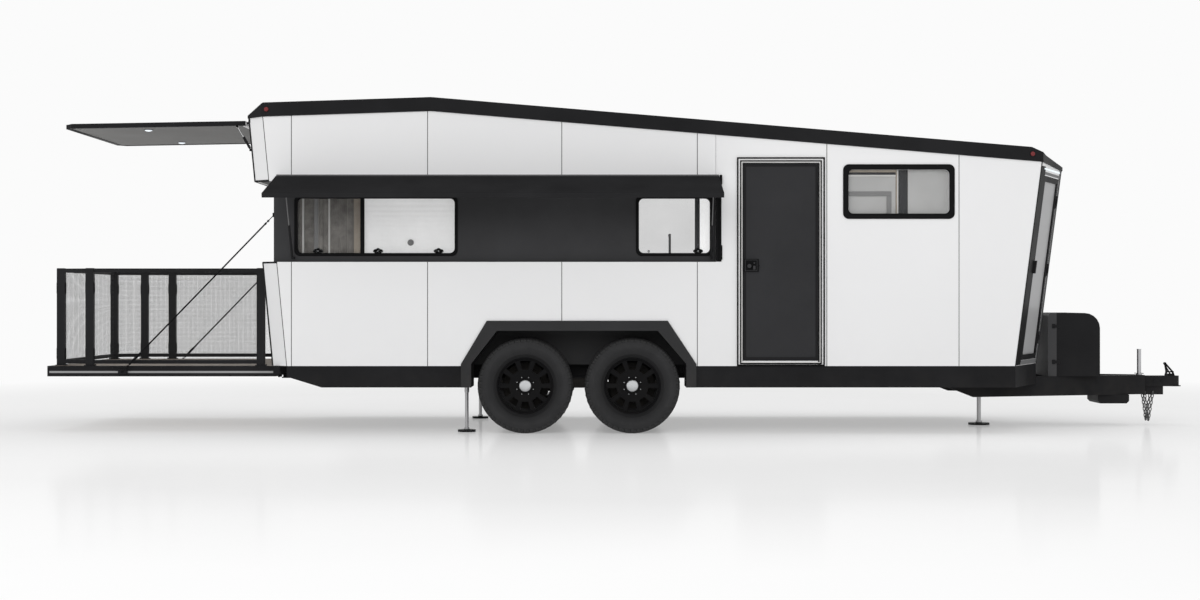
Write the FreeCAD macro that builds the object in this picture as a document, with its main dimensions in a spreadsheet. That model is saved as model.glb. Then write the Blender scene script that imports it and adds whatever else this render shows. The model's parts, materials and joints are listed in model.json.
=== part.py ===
import FreeCAD, Part
import math
import os

import Sketcher
from FreeCAD import Placement, Rotation, Vector

# Large travel trailer with two axles, a fold-down rear deck, a rear hatch and a side awning.
# Origin: centre of the coupler's ball socket. +X runs forward to the hitch, +Z up,
# and the side with the entry door looks along -Y. Lengths are millimetres, angles degrees.

DOC = FreeCAD.newDocument("travel_trailer")
SHEET = DOC.addObject("Spreadsheet::Sheet", "Sizes")

SIZES = [
    # Shell
    ("ball_height", 440, "ball socket centre above the ground"),
    ("body_width", 2590, "across the two side walls"),
    ("wall_thick", 40, "composite wall panel"),
    ("wall_foot_z", 192, "foot of the walls"),
    ("rear_foot_x", -8799, "rear face at the wall foot"),
    ("rear_eave_x", -9022, "rear face at the eave"),
    ("rear_eave_z", 2507, "rear eave"),
    ("front_foot_x", -1491, "front face at the wall foot"),
    ("front_eave_x", -1246, "front face at the eave"),
    ("front_eave_z", 2060, "front eave"),
    ("peak_x", -7307, "highest line of the roof"),
    ("peak_z", 2563, "eave at the highest line"),
    ("rear_corner_length", 150, "rear corner facet along the trailer"),
    ("rear_corner_depth", 125, "rear corner facet across the trailer"),
    ("front_corner_length", 380, "front corner facet along the trailer"),
    ("front_corner_depth", 800, "front corner facet across the trailer"),
    ("seam_gap", 3, "joint between two wall panels"),
    ("seam_rear_x", -8605, "rearmost panel joint"),
    ("seam_front_x", -2396, "foremost panel joint"),
    ("overrun", 20, "how far a cut runs past the piece it opens"),
    # Roof
    ("roof_thick", 130, "roof edge"),
    ("roof_overhang", 12, "roof edge proud of the walls"),
    ("roof_skin", 60, "roof above the hollow"),
    ("roof_rim", 60, "solid rim of the roof inside the wall line"),
    ("rear_bevel_length", 165, "sloped rear end of the roof"),
    ("rear_lip", 24, "upright edge under the rear slope"),
    ("nose_bevel_length", 486, "first slope at the front of the roof"),
    ("nose_slope_length", 331, "lower slope at the front of the roof"),
    ("nose_slope_rise", 99, "height of the nose slope's upper edge above the front eave"),
    ("nose_lip", 36, "upright edge under the nose slope"),
    # Window band
    ("band_low_z", 1160, "lower edge of the recessed band"),
    ("band_high_z", 1913, "upper edge of the recessed band"),
    ("band_front_x", -4656, "front end of the band"),
    ("band_rear_x", -8783, "rear wall within the band"),
    ("band_recess", 80, "depth of the band behind the wall face"),
    # Band windows and the front window
    ("window_low_z", 1217, "foot of the band windows"),
    ("window_high_z", 1782, "head of the band windows"),
    ("long_window_x", -8590, "rear edge of the long window"),
    ("long_window_length", 1525, "long window with its frame"),
    ("short_window_x", -5399, "rear edge of the short window"),
    ("short_window_length", 719, "short window with its frame"),
    ("front_window_x", -3475, "rear edge of the front side window"),
    ("front_window_length", 1038, "front side window with its frame"),
    ("front_window_low_z", 1560, "foot of the front side window"),
    ("front_window_high_z", 2068, "head of the front side window"),
    ("window_frame", 50, "width of a front window's frame"),
    ("band_frame", 28, "width of a band window's frame"),
    ("window_radius", 45, "corner of a window frame"),
    ("window_proud", 9, "window frame proud of its wall"),
    ("glass_thick", 8, "pane"),
    ("mullion_width", 38, "upright bar of the long window"),
    ("mullion_x", 617, "upright bar of the long window from its rear edge"),
    # Wheel arches and wells
    ("arch_rear_x", -7028, "rear foot of the arch band"),
    ("arch_front_x", -4839, "front foot of the arch band"),
    ("arch_rear_slope", 240, "run of the band's rear slope"),
    ("arch_front_slope", 266, "run of the band's front slope"),
    ("arch_knee_z", 211, "where the slopes start"),
    ("arch_top_z", 613, "top of the arch band"),
    ("arch_band", 93, "width of the arch band"),
    ("arch_depth", 55, "arch band behind the wall face"),
    ("arch_proud", 14, "arch band proud of the wall face"),
    ("liner_thick", 6, "wheel well liner"),
    ("well_inner", 886, "inner side of the wheel well from the centre plane"),
    # Chassis
    ("rail_outer", 780, "outer face of a main rail from the centre plane"),
    ("rail_width", 80, "main rail flange"),
    ("rail_web", 10, "main rail wall"),
    ("rail_low_z", 59, "foot of the main rails"),
    ("frame_rear_x", -8783, "rear end of the main rails"),
    ("frame_front_x", -1660, "front end of the main rails"),
    ("member_width", 60, "cross member along the trailer"),
    ("member_height", 82, "cross member and wall beam height"),
    ("beam_inner", 1245, "inner face of a wall beam from the centre plane"),
    ("skirt_thick", 10, "skirt plate"),
    ("skirt_low_z", -8, "foot of the skirts"),
    ("skirt_tail_height", 100, "upright rear end of the skirt"),
    ("skirt_tail_length", 325, "slanted rear end of the skirt"),
    ("floor_top_z", 235, "cabin floor"),
    # Axles and springs
    ("rear_axle_x", -6434, "rear axle"),
    ("axle_spacing", 1001, "between the axles"),
    ("axle_radius", 38, "axle tube"),
    ("axle_half", 950, "half of the axle tube"),
    ("spindle_radius", 28, "spindle"),
    ("spindle_reach", 1200, "spindle's end from the centre plane"),
    ("spring_y", 740, "leaf springs from the centre plane"),
    ("spring_width", 60, "leaf spring"),
    ("spring_thick", 30, "leaf pack"),
    ("spring_seat", 60, "half length of a spring seat"),
    ("seat_drop", 20, "spring seat under the axle tube"),
    ("eye_drop", 30, "spring eyes under the axle"),
    ("equaliser_half", 110, "half length of the equaliser"),
    ("hanger_half", 30, "half length of a spring hanger"),
    ("hanger_lap", 10, "hangers below the spring eyes"),
    # Wheels
    ("tyre_radius", 444.5, "tyre"),
    ("tyre_width", 315, "tyre"),
    ("tyre_shoulder", 45, "rounding of the tyre's shoulder"),
    ("track_half", 1110, "middle of a wheel from the centre plane"),
    ("rim_radius", 258, "rim under the tyre's bead"),
    ("rim_wall", 12, "rim barrel"),
    ("rim_disc", 35, "rim face"),
    ("rim_face_inset", 50, "rim face behind the tyre's side"),
    ("hub_radius", 62, "hub"),
    ("hub_length", 150, "hub"),
    ("cap_proud", 12, "centre cap"),
    ("window_root", 58, "rim window at its inner end"),
    ("window_rim", 102, "rim window at the rim"),
    # Tongue
    ("tongue_rear_x", -2435, "rear end of the A-frame"),
    ("tongue_nose_x", -311, "front end of the A-frame"),
    ("tongue_low_z", -131, "foot of the A-frame"),
    ("tongue_tip_half", 70, "half width of the nose"),
    ("tongue_beam_width", 60, "A-frame beam"),
    ("tongue_block", 60, "nose block"),
    ("tongue_heel", 300, "taper at the A-frame's rear ends"),
    ("coupler_low_z", -55, "foot of the coupler"),
    ("coupler_high_z", 50, "top of the coupler"),
    ("coupler_half", 55, "half width of the coupler"),
    ("coupler_lip", 18, "lip round the coupler's foot"),
    ("coupler_lip_thick", 8, "lip round the coupler's foot"),
    ("coupler_block_height", 82, "block under the coupler"),
    ("coupler_block_length", 200, "block under the coupler"),
    ("socket_radius", 30, "ball socket"),
    ("socket_depth", 70, "ball socket"),
    ("latch_foot_x", -20, "foot of the coupler latch"),
    ("latch_top_x", -95, "top of the coupler latch"),
    ("latch_top_z", 178, "top of the coupler latch"),
    ("latch_radius", 7, "coupler latch"),
    ("latch_block", 40, "foot of the coupler latch"),
    ("jack_tube", 21, "tongue jack tube radius"),
    ("jack_flange", 12, "tongue jack flange"),
    ("jack_top_z", 316, "top of the tongue jack"),
    ("jack_cap", 6, "cap on the tongue jack"),
    ("box_rear_x", -1349, "rear of the cover box"),
    ("box_seam_x", -1265, "joint in the cover box"),
    ("box_front_x", -840, "front of the cover box"),
    ("box_high_z", 679, "top of the cover box"),
    ("box_half", 400, "half width of the cover box"),
    ("box_small_bevel", 25, "rear upper edge of the cover box"),
    ("box_bevel", 150, "front upper edge of the cover box"),
    ("under_box_rear_x", -806, "box under the tongue"),
    ("under_box_front_x", -497, "box under the tongue"),
    ("under_box_height", 87, "box under the tongue"),
    ("under_box_half", 200, "half width of the box under the tongue"),
    ("under_box_bevel", 25, "lower edges of the box under the tongue"),
    ("chain_radius", 7, "chain"),
    ("chain_y", 44.3, "chains from the centre plane"),
    ("chain_rear_x", -300, "rear end of a chain"),
    ("chain_front_x", -213, "front end of a chain"),
    ("chain_top_z", -104, "ends of a chain"),
    ("chain_low_x", -261, "lowest point of a chain"),
    ("chain_low_z", -398, "lowest point of a chain"),
    # Legs
    ("rear_leg_x", -6996, "rear legs"),
    ("rear_leg_y", 985, "rear legs from the centre plane"),
    ("rear_leg_radius", 17, "rear leg"),
    ("rear_foot_radius", 85, "rear leg's foot"),
    ("front_leg_x", -1944, "front leg"),
    ("front_leg_radius", 21, "front leg"),
    ("front_foot_radius", 105, "front leg's foot"),
    ("foot_thick", 20, "a leg's foot"),
    ("leg_sleeve_drop", 60, "leg sleeve under the skirts"),
    # Doors
    ("leaf_gap", 5, "clearance round a door"),
    ("runner_gap", 0.3, "sliding sash over its runner"),
    ("leaf_thick", 36, "door leaf"),
    ("door_rear_x", -4451, "rear edge of the entry surround"),
    ("door_front_x", -3656, "front edge of the entry surround"),
    ("door_top_z", 2122, "top of the entry surround"),
    ("door_sill_z", 240, "sill of the entry door"),
    ("door_jamb", 40, "entry surround"),
    ("door_proud", 8, "entry surround proud of the wall"),
    ("door_stile", 30, "edge frame of a door"),
    ("panel_radius", 12, "corner of the entry door's panel"),
    ("panel_inset", 2, "entry door's panel behind its edge frame"),
    ("lock_inset", 8, "lock plate from the door's edge"),
    ("lock_width", 140, "lock plate"),
    ("lock_height", 119, "lock plate"),
    ("lock_low_z", 1068, "foot of the lock plate"),
    ("lock_proud", 8, "lock plate"),
    ("grip_radius", 8, "door grip"),
    ("grip_reach", 32, "door grip proud of its plate"),
    ("grip_length", 80, "door grip"),
    ("corner_door_start", 190, "corner door from the side wall, along the facet"),
    ("corner_door_width", 640, "corner doorway"),
    ("corner_door_low_z", 240, "foot of the corner doorway"),
    ("corner_door_high_z", 1975, "head of the corner doorway"),
    ("corner_door_rail", 45, "frame of a corner door"),
    ("latch_height", 120, "corner door latch"),
    ("latch_proud", 25, "corner door latch"),
    ("doorway_half", 650, "half of the rear doorway"),
    ("doorway_top_z", 1860, "head of the rear doorway"),
    ("slider_thick", 30, "sash of the rear door"),
    ("slider_rail", 55, "sash frame of the rear door"),
    ("slider_overlap", 55, "how far the sliding sash passes the middle"),
    # Hinges
    ("pin_radius", 5, "hinge and strut pins"),
    ("pin_clearance", 0.05, "running clearance of a pin or rod"),
    ("pin_proud", 4, "hinge axis in front of a door's face"),
    ("knuckle_radius", 11, "hinge knuckle"),
    ("knuckle_length", 120, "hinge knuckle"),
    ("knuckle_gap", 1, "between a sleeve and its collars"),
    ("knuckle_room", 1.5, "round a knuckle"),
    # Struts
    ("strut_eye", 12, "eye of a strut"),
    ("strut_eye_thick", 12, "eye of a strut"),
    ("strut_side_gap", 1, "between an eye and its plate"),
    ("strut_neck", 18, "from a strut's pin to its tube"),
    ("lug_thick", 8, "strut lug and bracket plates"),
    # Side awning
    ("awning_rear_x", -8742, "rear end of the awning"),
    ("awning_front_x", -4631, "front end of the awning"),
    ("awning_hinge_z", 1941, "awning hinge"),
    ("awning_pin_out", 30, "awning hinge in front of the wall"),
    ("awning_drop", 15.7, "slope of the open awning, in degrees"),
    ("awning_reach", 760, "awning from its hinge"),
    ("awning_thick", 40, "awning"),
    ("awning_skin", 12, "awning skin"),
    ("awning_rim", 30, "awning frame"),
    ("awning_root", 18, "from the hinge to the awning's edge"),
    ("awning_rail_out", 24, "hinge rail proud of the wall"),
    ("awning_rail_low", 8, "hinge rail under the hinge"),
    ("awning_rail_high", 30, "hinge rail over the hinge"),
    ("awning_strut_rear_x", -8603, "rear strut"),
    ("awning_strut_front_x", -4700, "front strut"),
    ("awning_lug_reach", 330, "strut lug from the hinge"),
    ("awning_lug_drop", 40, "strut lug under the awning's middle"),
    ("awning_base_in", 65, "strut base behind the hinge"),
    ("awning_base_drop", 741, "strut base under the hinge"),
    ("awning_tube", 11, "strut tube radius"),
    ("awning_rod", 5, "strut rod radius"),
    ("awning_tube_length", 345, "strut tube from its pin"),
    ("awning_rod_length", 388, "strut rod"),
    # Rear hatch
    ("hatch_hinge_x", -9070, "hatch hinge"),
    ("hatch_hinge_z", 2480, "hatch hinge"),
    ("hatch_drop", 1, "slope of the open hatch, in degrees"),
    ("hatch_half_width", 995, "half of the hatch"),
    ("hatch_reach", 1738, "hatch from its hinge"),
    ("hatch_thick", 40, "hatch"),
    ("hatch_skin", 12, "hatch skin"),
    ("hatch_rim", 45, "hatch frame"),
    ("hatch_root", 18, "from the hinge to the hatch's edge"),
    ("hatch_corner", 85, "cut corners of the hatch"),
    ("hatch_rail_gap", 6, "hinge rail from the hatch's hinge"),
    ("hatch_rail_high", 22, "hinge rail over the hatch's hinge"),
    ("hatch_strut_out", 17, "struts beside the hatch"),
    ("hatch_lug_reach", 95, "strut lug from the hinge"),
    ("hatch_lug_drop", 28, "strut lug under the hatch's middle"),
    ("hatch_base_in", 35, "strut base in front of the hinge"),
    ("hatch_base_drop", 255, "strut base under the hinge"),
    ("hatch_tube", 11, "strut tube radius"),
    ("hatch_rod", 5, "strut rod radius"),
    ("hatch_tube_length", 136, "strut tube from its pin"),
    ("hatch_rod_length", 139, "strut rod"),
    # Rear deck and its guard
    ("deck_end_x", -10937, "rear end of the deck"),
    ("deck_low_z", 87, "foot of the deck"),
    ("deck_high_z", 185, "top of the deck"),
    ("deck_half", 1090, "half of the deck"),
    ("deck_beam", 40, "deck beams"),
    ("board_thick", 25, "deck boards"),
    ("strip_low", 32, "light strip on the deck's edge"),
    ("strip_high", 51, "light strip on the deck's edge"),
    ("strip_proud", 4, "light strip on the deck's edge"),
    ("guard_end_x", -10845, "end posts"),
    ("guard_end_half", 950, "end posts from the centre plane"),
    ("guard_turn_x", -10548, "first side posts"),
    ("guard_mid_x", -10255, "middle post of the far side"),
    ("guard_wall_x", -8935, "posts at the rear wall"),
    ("guard_half", 1040, "side posts from the centre plane"),
    ("guard_top_z", 1104, "top of the guard"),
    ("guard_rail", 36, "guard rail height"),
    ("guard_rail_thick", 30, "guard rail across"),
    ("guard_foot", 20, "lower rail over the deck"),
    ("mesh_thick", 3, "mesh of the guard"),
    ("mesh_bar", 12, "bar of the guard's mesh"),
    ("post_length", 75, "guard post along the trailer"),
    ("post_width", 50, "guard post across the trailer"),
    ("stay_head_x", -8793, "stay at the rear wall"),
    ("stay_head_z", 1603, "stay at the rear wall"),
    ("stay_deck_x", -10218, "stay at the deck"),
    ("stay_deck_z", 131, "stay at the deck"),
    ("stay_y", 1150, "stays from the centre plane"),
    ("stay_radius", 4, "stay"),
    ("stay_lug", 40, "stay lug"),
    # Lights
    ("marker_rear_x", -8836, "rear marker lights"),
    ("marker_front_x", -1714, "front marker lights"),
    ("marker_radius", 22, "marker light"),
    ("marker_proud", 8, "marker light"),
    ("strip_light_z", 2030, "light strip over a corner door"),
    ("strip_light_height", 14, "light strip over a corner door"),
    ("strip_light_inset", 60, "rear end of the light strip beyond the doorway"),
    # Cabin
    ("counter_rear_x", -5650, "galley counter"),
    ("counter_front_x", -4640, "galley counter"),
    ("counter_depth", 600, "galley counter"),
    ("counter_z", 1190, "galley counter"),
    ("tap_x", -5076, "galley tap"),
    ("tap_radius", 11, "galley tap"),
    ("tap_height", 240, "galley tap"),
    ("tap_reach", 150, "galley tap"),
    ("wardrobe_rear_x", -8600, "wardrobe"),
    ("wardrobe_length", 650, "wardrobe"),
    ("wardrobe_depth", 540, "wardrobe"),
    ("wardrobe_top_z", 1880, "wardrobe"),
    ("partition_x", -2865, "cabin partition"),
    ("partition_thick", 110, "cabin partition"),
    ("partition_door", 640, "doorway in the partition"),
    ("partition_head_z", 2000, "doorway in the partition"),
]

# Shares and counts
SEAM_SHARES = (0, 0.204, 0.405, 0.608, 0.802, 1)
MEMBER_SHARES = (0, 0.115, 0.23, 0.3, 0.42, 0.5, 0.565, 0.69, 0.82, 0.964, 1)
KNUCKLE_SHARES = (0.08, 0.46, 0.84)
AWNING_KNUCKLE_SHARES = (0, 0.25, 0.5, 0.75, 1)
RIB_SHARES = (0, 0.25, 0.5, 0.75, 1)
JOIST_SHARES = (0.2, 0.4, 0.6, 0.8)
COLLAR_SHARE = 0.25
CORNER_LINING_SHARE = 0.9
LATCH_SHARE = 0.47
LATCH_INSET_SHARE = 0.15
GRIP_SHARE = 0.5
BEAD_SHARE = 0.72
STRUT_CAP_SHARE = 0.2
RIM_WINDOWS = 10
DECK_BOARDS = 14
MESH_ROWS = 6
MESH_COLUMNS = 12
MESH_CORNER_COLUMNS = 2
WARDROBE_SLATS = 7
BEVEL_STEPS = 5


class Size:
    """A length or an angle, kept as the sheet's formula together with what it comes to."""

    def __init__(self, text, value):
        self.text = text
        self.value = float(value)

    def __add__(self, other):
        other = size(other)
        return Size(f"({self.text} + {other.text})", self.value + other.value)

    def __radd__(self, other):
        return size(other) + self

    def __sub__(self, other):
        other = size(other)
        return Size(f"({self.text} - {other.text})", self.value - other.value)

    def __rsub__(self, other):
        return size(other) - self

    def __mul__(self, other):
        other = size(other)
        return Size(f"({self.text} * {other.text})", self.value * other.value)

    def __rmul__(self, other):
        return size(other) * self

    def __truediv__(self, other):
        other = size(other)
        return Size(f"({self.text} / {other.text})", self.value / other.value)

    def __rtruediv__(self, other):
        return size(other) / self

    def __neg__(self):
        return Size(f"(0 - {self.text})", -self.value)


def size(number):
    """The number as a Size, unless it is one."""
    if isinstance(number, Size):
        return number
    return Size(f"({float(number)!r})", number)


def cos_of(angle):
    return Size(f"cos({angle.text})", math.cos(math.radians(angle.value)))


def sin_of(angle):
    return Size(f"sin({angle.text})", math.sin(math.radians(angle.value)))


def root_of(square):
    return Size(f"sqrt({square.text})", math.sqrt(square.value))


class Sheet:
    """The sheet's cells by name, such as S.wall_thick."""


def fill_sheet():
    """Write every size into the sheet and return them by name."""
    cells = Sheet()
    for row, (alias, value, note) in enumerate(SIZES, start=1):
        SHEET.set(f"A{row}", note)
        SHEET.set(f"B{row}", str(value))
        SHEET.setAlias(f"B{row}", alias)
        setattr(cells, alias, Size(f"Sizes.{alias}", value))
    DOC.recompute()
    return cells


S = fill_sheet()
HALF = S.body_width / 2
GROUND = -S.ball_height
NEAR, FAR = -1, 1
PIECES = []
SHARED = {}


# Tools for building objects whose sizes follow the sheet

def bind(thing, prop, value):
    thing.setExpression(prop, size(value).text)


def move_to(thing, place, turn=None):
    """Put an object at three sizes, turned by a fixed rotation."""
    place = [size(part) for part in place]
    thing.Placement = Placement(Vector(*[part.value for part in place]), turn or Rotation())
    for letter, part in zip("xyz", place):
        bind(thing, f".Placement.Base.{letter}", part)


def box(label, low, high):
    """A block between two corners."""
    thing = DOC.addObject("Part::Box", label)
    for prop, start, end in zip(("Length", "Width", "Height"), low, high):
        bind(thing, prop, size(end) - size(start))
    move_to(thing, low)
    return thing


def rod(label, radius, length, place, way=(0, 0, 1)):
    """A cylinder from a place, along a direction."""
    thing = DOC.addObject("Part::Cylinder", label)
    bind(thing, "Radius", radius)
    bind(thing, "Height", length)
    move_to(thing, place, Rotation(Vector(0, 0, 1), Vector(*way)))
    return thing


def bar_between(label, radius, start, end):
    """A round bar from one point to another."""
    start = [size(part) for part in start]
    end = [size(part) for part in end]
    steps = [b - a for a, b in zip(start, end)]
    length = root_of(steps[0] * steps[0] + steps[1] * steps[1] + steps[2] * steps[2])
    return rod(label, radius, length, start, [step.value for step in steps])


def origin_plane(body, role):
    return [item for item in body.Origin.OriginFeatures if item.Role == role][0]


def pin_point(sketch, line, end, place):
    """Hold the end of a line at a place given in sizes."""
    for kind, part in zip(("DistanceX", "DistanceY"), place):
        part = size(part)
        rule = sketch.addConstraint(Sketcher.Constraint(kind, -1, 1, line, end, part.value))
        sketch.setExpression(f"Constraints[{rule}]", part.text)


def add_loop(sketch, corners):
    """A closed outline of straight lines through the corners."""
    first = sketch.GeometryCount
    points = [Vector(size(u).value, size(w).value, 0) for u, w in corners]
    count = len(points)
    for step in range(count):
        sketch.addGeometry(Part.LineSegment(points[step], points[(step + 1) % count]))
    for step in range(count):
        following = first + (step + 1) % count
        sketch.addConstraint(Sketcher.Constraint("Coincident", first + step, 2, following, 1))
        pin_point(sketch, first + step, 1, corners[step])


def add_rounded(sketch, low, high, radius):
    """A closed rectangle with round corners."""
    first = sketch.GeometryCount
    u0, w0 = (size(part) for part in low)
    u1, w1 = (size(part) for part in high)
    runs = [
        ((u0 + radius, w0), (u1 - radius, w0)),
        ((u1, w0 + radius), (u1, w1 - radius)),
        ((u1 - radius, w1), (u0 + radius, w1)),
        ((u0, w1 - radius), (u0, w0 + radius)),
    ]
    centres = [
        (u1 - radius, w0 + radius),
        (u1 - radius, w1 - radius),
        (u0 + radius, w1 - radius),
        (u0 + radius, w0 + radius),
    ]
    for start, end in runs:
        points = [Vector(u.value, w.value, 0) for u, w in (start, end)]
        sketch.addGeometry(Part.LineSegment(*points))
    for quarter, (u, w) in enumerate(centres):
        circle = Part.Circle(Vector(u.value, w.value, 0), Vector(0, 0, 1), radius.value)
        start = math.radians(90 * quarter - 90)
        sketch.addGeometry(Part.ArcOfCircle(circle, start, start + math.radians(90)))
    for side, (start, end) in enumerate(runs):
        pin_point(sketch, first + side, 1, start)
        pin_point(sketch, first + side, 2, end)
        arc = first + 4 + side
        following = first + (side + 1) % 4
        sketch.addConstraint(Sketcher.Constraint("Coincident", arc, 1, first + side, 2))
        sketch.addConstraint(Sketcher.Constraint("Coincident", arc, 2, following, 1))
        u = centres[side][0]
        rule = sketch.addConstraint(Sketcher.Constraint("DistanceX", -1, 1, arc, 3, u.value))
        sketch.setExpression(f"Constraints[{rule}]", u.text)


def prism(label, plane, start, end, corners=(), holes=(), panes=(), rounded=None, way=None):
    """A padded body between two levels of a base plane's axis.

    corners is its outline, holes are straight-sided openings, panes are round-cornered
    openings (low, high, radius), rounded is a round-cornered outline, and way is a
    slanted direction of the pad.
    """
    body = DOC.addObject("PartDesign::Body", label)
    sketch = body.newObject("Sketcher::SketchObject", f"{label}_outline")
    sketch.AttachmentSupport = [(origin_plane(body, f"{plane}_Plane"), "")]
    sketch.MapMode = "FlatFace"
    level = -size(end) if plane == "XZ" else size(start)
    bind(sketch, ".AttachmentOffset.Base.z", level)
    if corners:
        add_loop(sketch, corners)
    if rounded:
        add_rounded(sketch, *rounded)
    for hole in holes:
        add_loop(sketch, hole)
    for low, high, radius in panes:
        add_rounded(sketch, low, high, radius)
    pad = body.newObject("PartDesign::Pad", f"{label}_pad")
    pad.Profile = sketch
    if way is not None:
        pad.UseCustomVector = True
        pad.Direction = Vector(*way)
        pad.AlongSketchNormal = True
    bind(pad, "Length", size(end) - size(start))
    return body


def joined(label, things):
    """Pieces of one solid, made as one."""
    fuse = DOC.addObject("Part::MultiFuse", label)
    fuse.Shapes = list(things)
    fuse.Refine = True
    return fuse


def grouped(label, things):
    """Like solids that share a node and don't touch."""
    group = DOC.addObject("Part::Compound", label)
    group.Links = list(things)
    return group


def cut(label, base, tools):
    """A piece with other shapes taken out of it."""
    tools = list(tools)
    tool = tools[0] if len(tools) == 1 else grouped(f"{label}_tools", tools)
    result = DOC.addObject("Part::Cut", label)
    result.Base = base
    result.Tool = tool
    return result


def keep(thing):
    """Mark an object as a piece of the trailer."""
    PIECES.append(thing)
    return thing


def gather(label, things):
    """Add like solids to a piece that is made when all of them are known."""
    SHARED.setdefault(label, []).extend(things)


def keep_shared():
    for label, things in SHARED.items():
        keep(grouped(label, things))


def both_sides(corners, side):
    """Plan corners drawn for the far side, mirrored for the near one."""
    if side == FAR:
        return corners
    return [(x, -size(y)) for x, y in reversed(corners)]


def span_y(side, inner, outer):
    """Low and high Y of something between two distances from the centre plane."""
    if side == FAR:
        return size(inner), size(outer)
    return -size(outer), -size(inner)


# Hinges: a pin with two fixed collars and a moving sleeve between them

def hinge(label, place, way):
    """One knuckle of a hinge: what is added to and cut from the fixed and the moving piece."""
    radius = S.knuckle_radius
    length = S.knuckle_length
    collar = length * COLLAR_SHARE
    gap = S.knuckle_gap
    norm = math.sqrt(sum(size(part).value ** 2 for part in way))
    unit = [size(part) / norm for part in way]
    direction = [part.value for part in unit]

    def along(distance):
        return [size(base) + part * distance for base, part in zip(place, unit)]

    def piece(name, thick, start, long):
        return rod(f"{label}_{name}", thick, long, along(start), direction)

    sleeve_start = collar + gap
    sleeve_long = length - sleeve_start * 2
    wide = radius + S.knuckle_room
    bore = piece("bore", S.pin_radius + S.pin_clearance, size(0), length)
    sleeve = cut(f"{label}_sleeve", piece("tube", radius, sleeve_start, sleeve_long), [bore])
    return {
        "fixed": [
            piece("pin", S.pin_radius, size(0), length),
            piece("collar_a", radius, size(0), collar),
            piece("collar_b", radius, length - collar, collar),
        ],
        "moving": [sleeve],
        "fixed_cut": [piece("room", wide, collar, length - collar * 2)],
        "moving_cut": [
            piece("room_a", wide, -gap, sleeve_start + gap),
            piece("room_b", wide, length - sleeve_start, sleeve_start + gap),
            piece("leaf_bore", S.pin_radius + S.pin_clearance, size(0), length),
        ],
    }


def hang(fixed_label, fixed, moving_label, moving, knuckles):
    """Join hinge knuckles to a fixed and a moving piece, each cut clear of the other's."""
    still_tools = [tool for knuckle in knuckles for tool in knuckle["fixed_cut"]]
    leaf_tools = [tool for knuckle in knuckles for tool in knuckle["moving_cut"]]
    still = cut(f"{fixed_label}_notched", fixed, still_tools)
    leaf = cut(f"{moving_label}_notched", moving, leaf_tools)
    still_parts = [still] + [part for knuckle in knuckles for part in knuckle["fixed"]]
    leaf_parts = [leaf] + [part for knuckle in knuckles for part in knuckle["moving"]]
    return joined(fixed_label, still_parts), joined(moving_label, leaf_parts)


# Lines of the shell

REAR_LEAN = (S.rear_eave_x - S.rear_foot_x) / (S.rear_eave_z - S.wall_foot_z)
FRONT_LEAN = (S.front_eave_x - S.front_foot_x) / (S.front_eave_z - S.wall_foot_z)
ROOF_FALL = (S.peak_z - S.front_eave_z) / (S.front_eave_x - S.peak_x)
ROOF_RISE = (S.peak_z - S.rear_eave_z) / (S.peak_x - S.rear_eave_x)


def rear_x(z):
    """The rear face at a height."""
    return S.rear_foot_x + REAR_LEAN * (z - S.wall_foot_z)


def front_x(z):
    """The front face at a height."""
    return S.front_foot_x + FRONT_LEAN * (z - S.wall_foot_z)


def side_rear_x(z):
    return rear_x(z) + S.rear_corner_length


def side_front_x(z):
    return front_x(z) - S.front_corner_length


def eave_z(x):
    """The eave forward of the highest line."""
    return S.front_eave_z + ROOF_FALL * (S.front_eave_x - x)


def side_front_top():
    """Where the side wall's front edge meets the eave."""
    back = S.front_corner_length / (1 + FRONT_LEAN * ROOF_FALL)
    return S.front_eave_x - back, S.front_eave_z + ROOF_FALL * back


def side_rear_top():
    """Where the side wall's rear edge meets the eave."""
    ahead = S.rear_corner_length / (1 - REAR_LEAN * ROOF_RISE)
    return S.rear_eave_x + ahead, S.rear_eave_z + ROOF_RISE * ahead


def arch_outline(grow=None):
    """The trapezoid round a pair of wheels, from its rear foot to its front foot."""
    grow = grow or size(0)
    foot = S.wall_foot_z
    lean_rear = S.arch_rear_x + grow
    lean_front = S.arch_front_x - grow
    return [
        (lean_rear, foot),
        (lean_rear, S.arch_knee_z),
        (lean_rear + S.arch_rear_slope, S.arch_top_z - grow),
        (lean_front - S.arch_front_slope, S.arch_top_z - grow),
        (lean_front, S.arch_knee_z),
        (lean_front, foot),
    ]


def wall_outline(side):
    """Lower wall and the full-height wall forward of the window band."""
    foot = S.wall_foot_z
    outline = [(side_rear_x(foot), foot)] + arch_outline()
    if side == NEAR:
        outline += [
            (S.door_rear_x, foot),
            (S.door_rear_x, S.door_top_z),
            (S.door_front_x, S.door_top_z),
            (S.door_front_x, foot),
        ]
    outline += [
        (side_front_x(foot), foot),
        side_front_top(),
        (S.band_front_x, eave_z(S.band_front_x)),
        (S.band_front_x, S.band_low_z),
        (side_rear_x(S.band_low_z), S.band_low_z),
    ]
    return outline


def side_name(side):
    return "near" if side == NEAR else "far"


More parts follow.
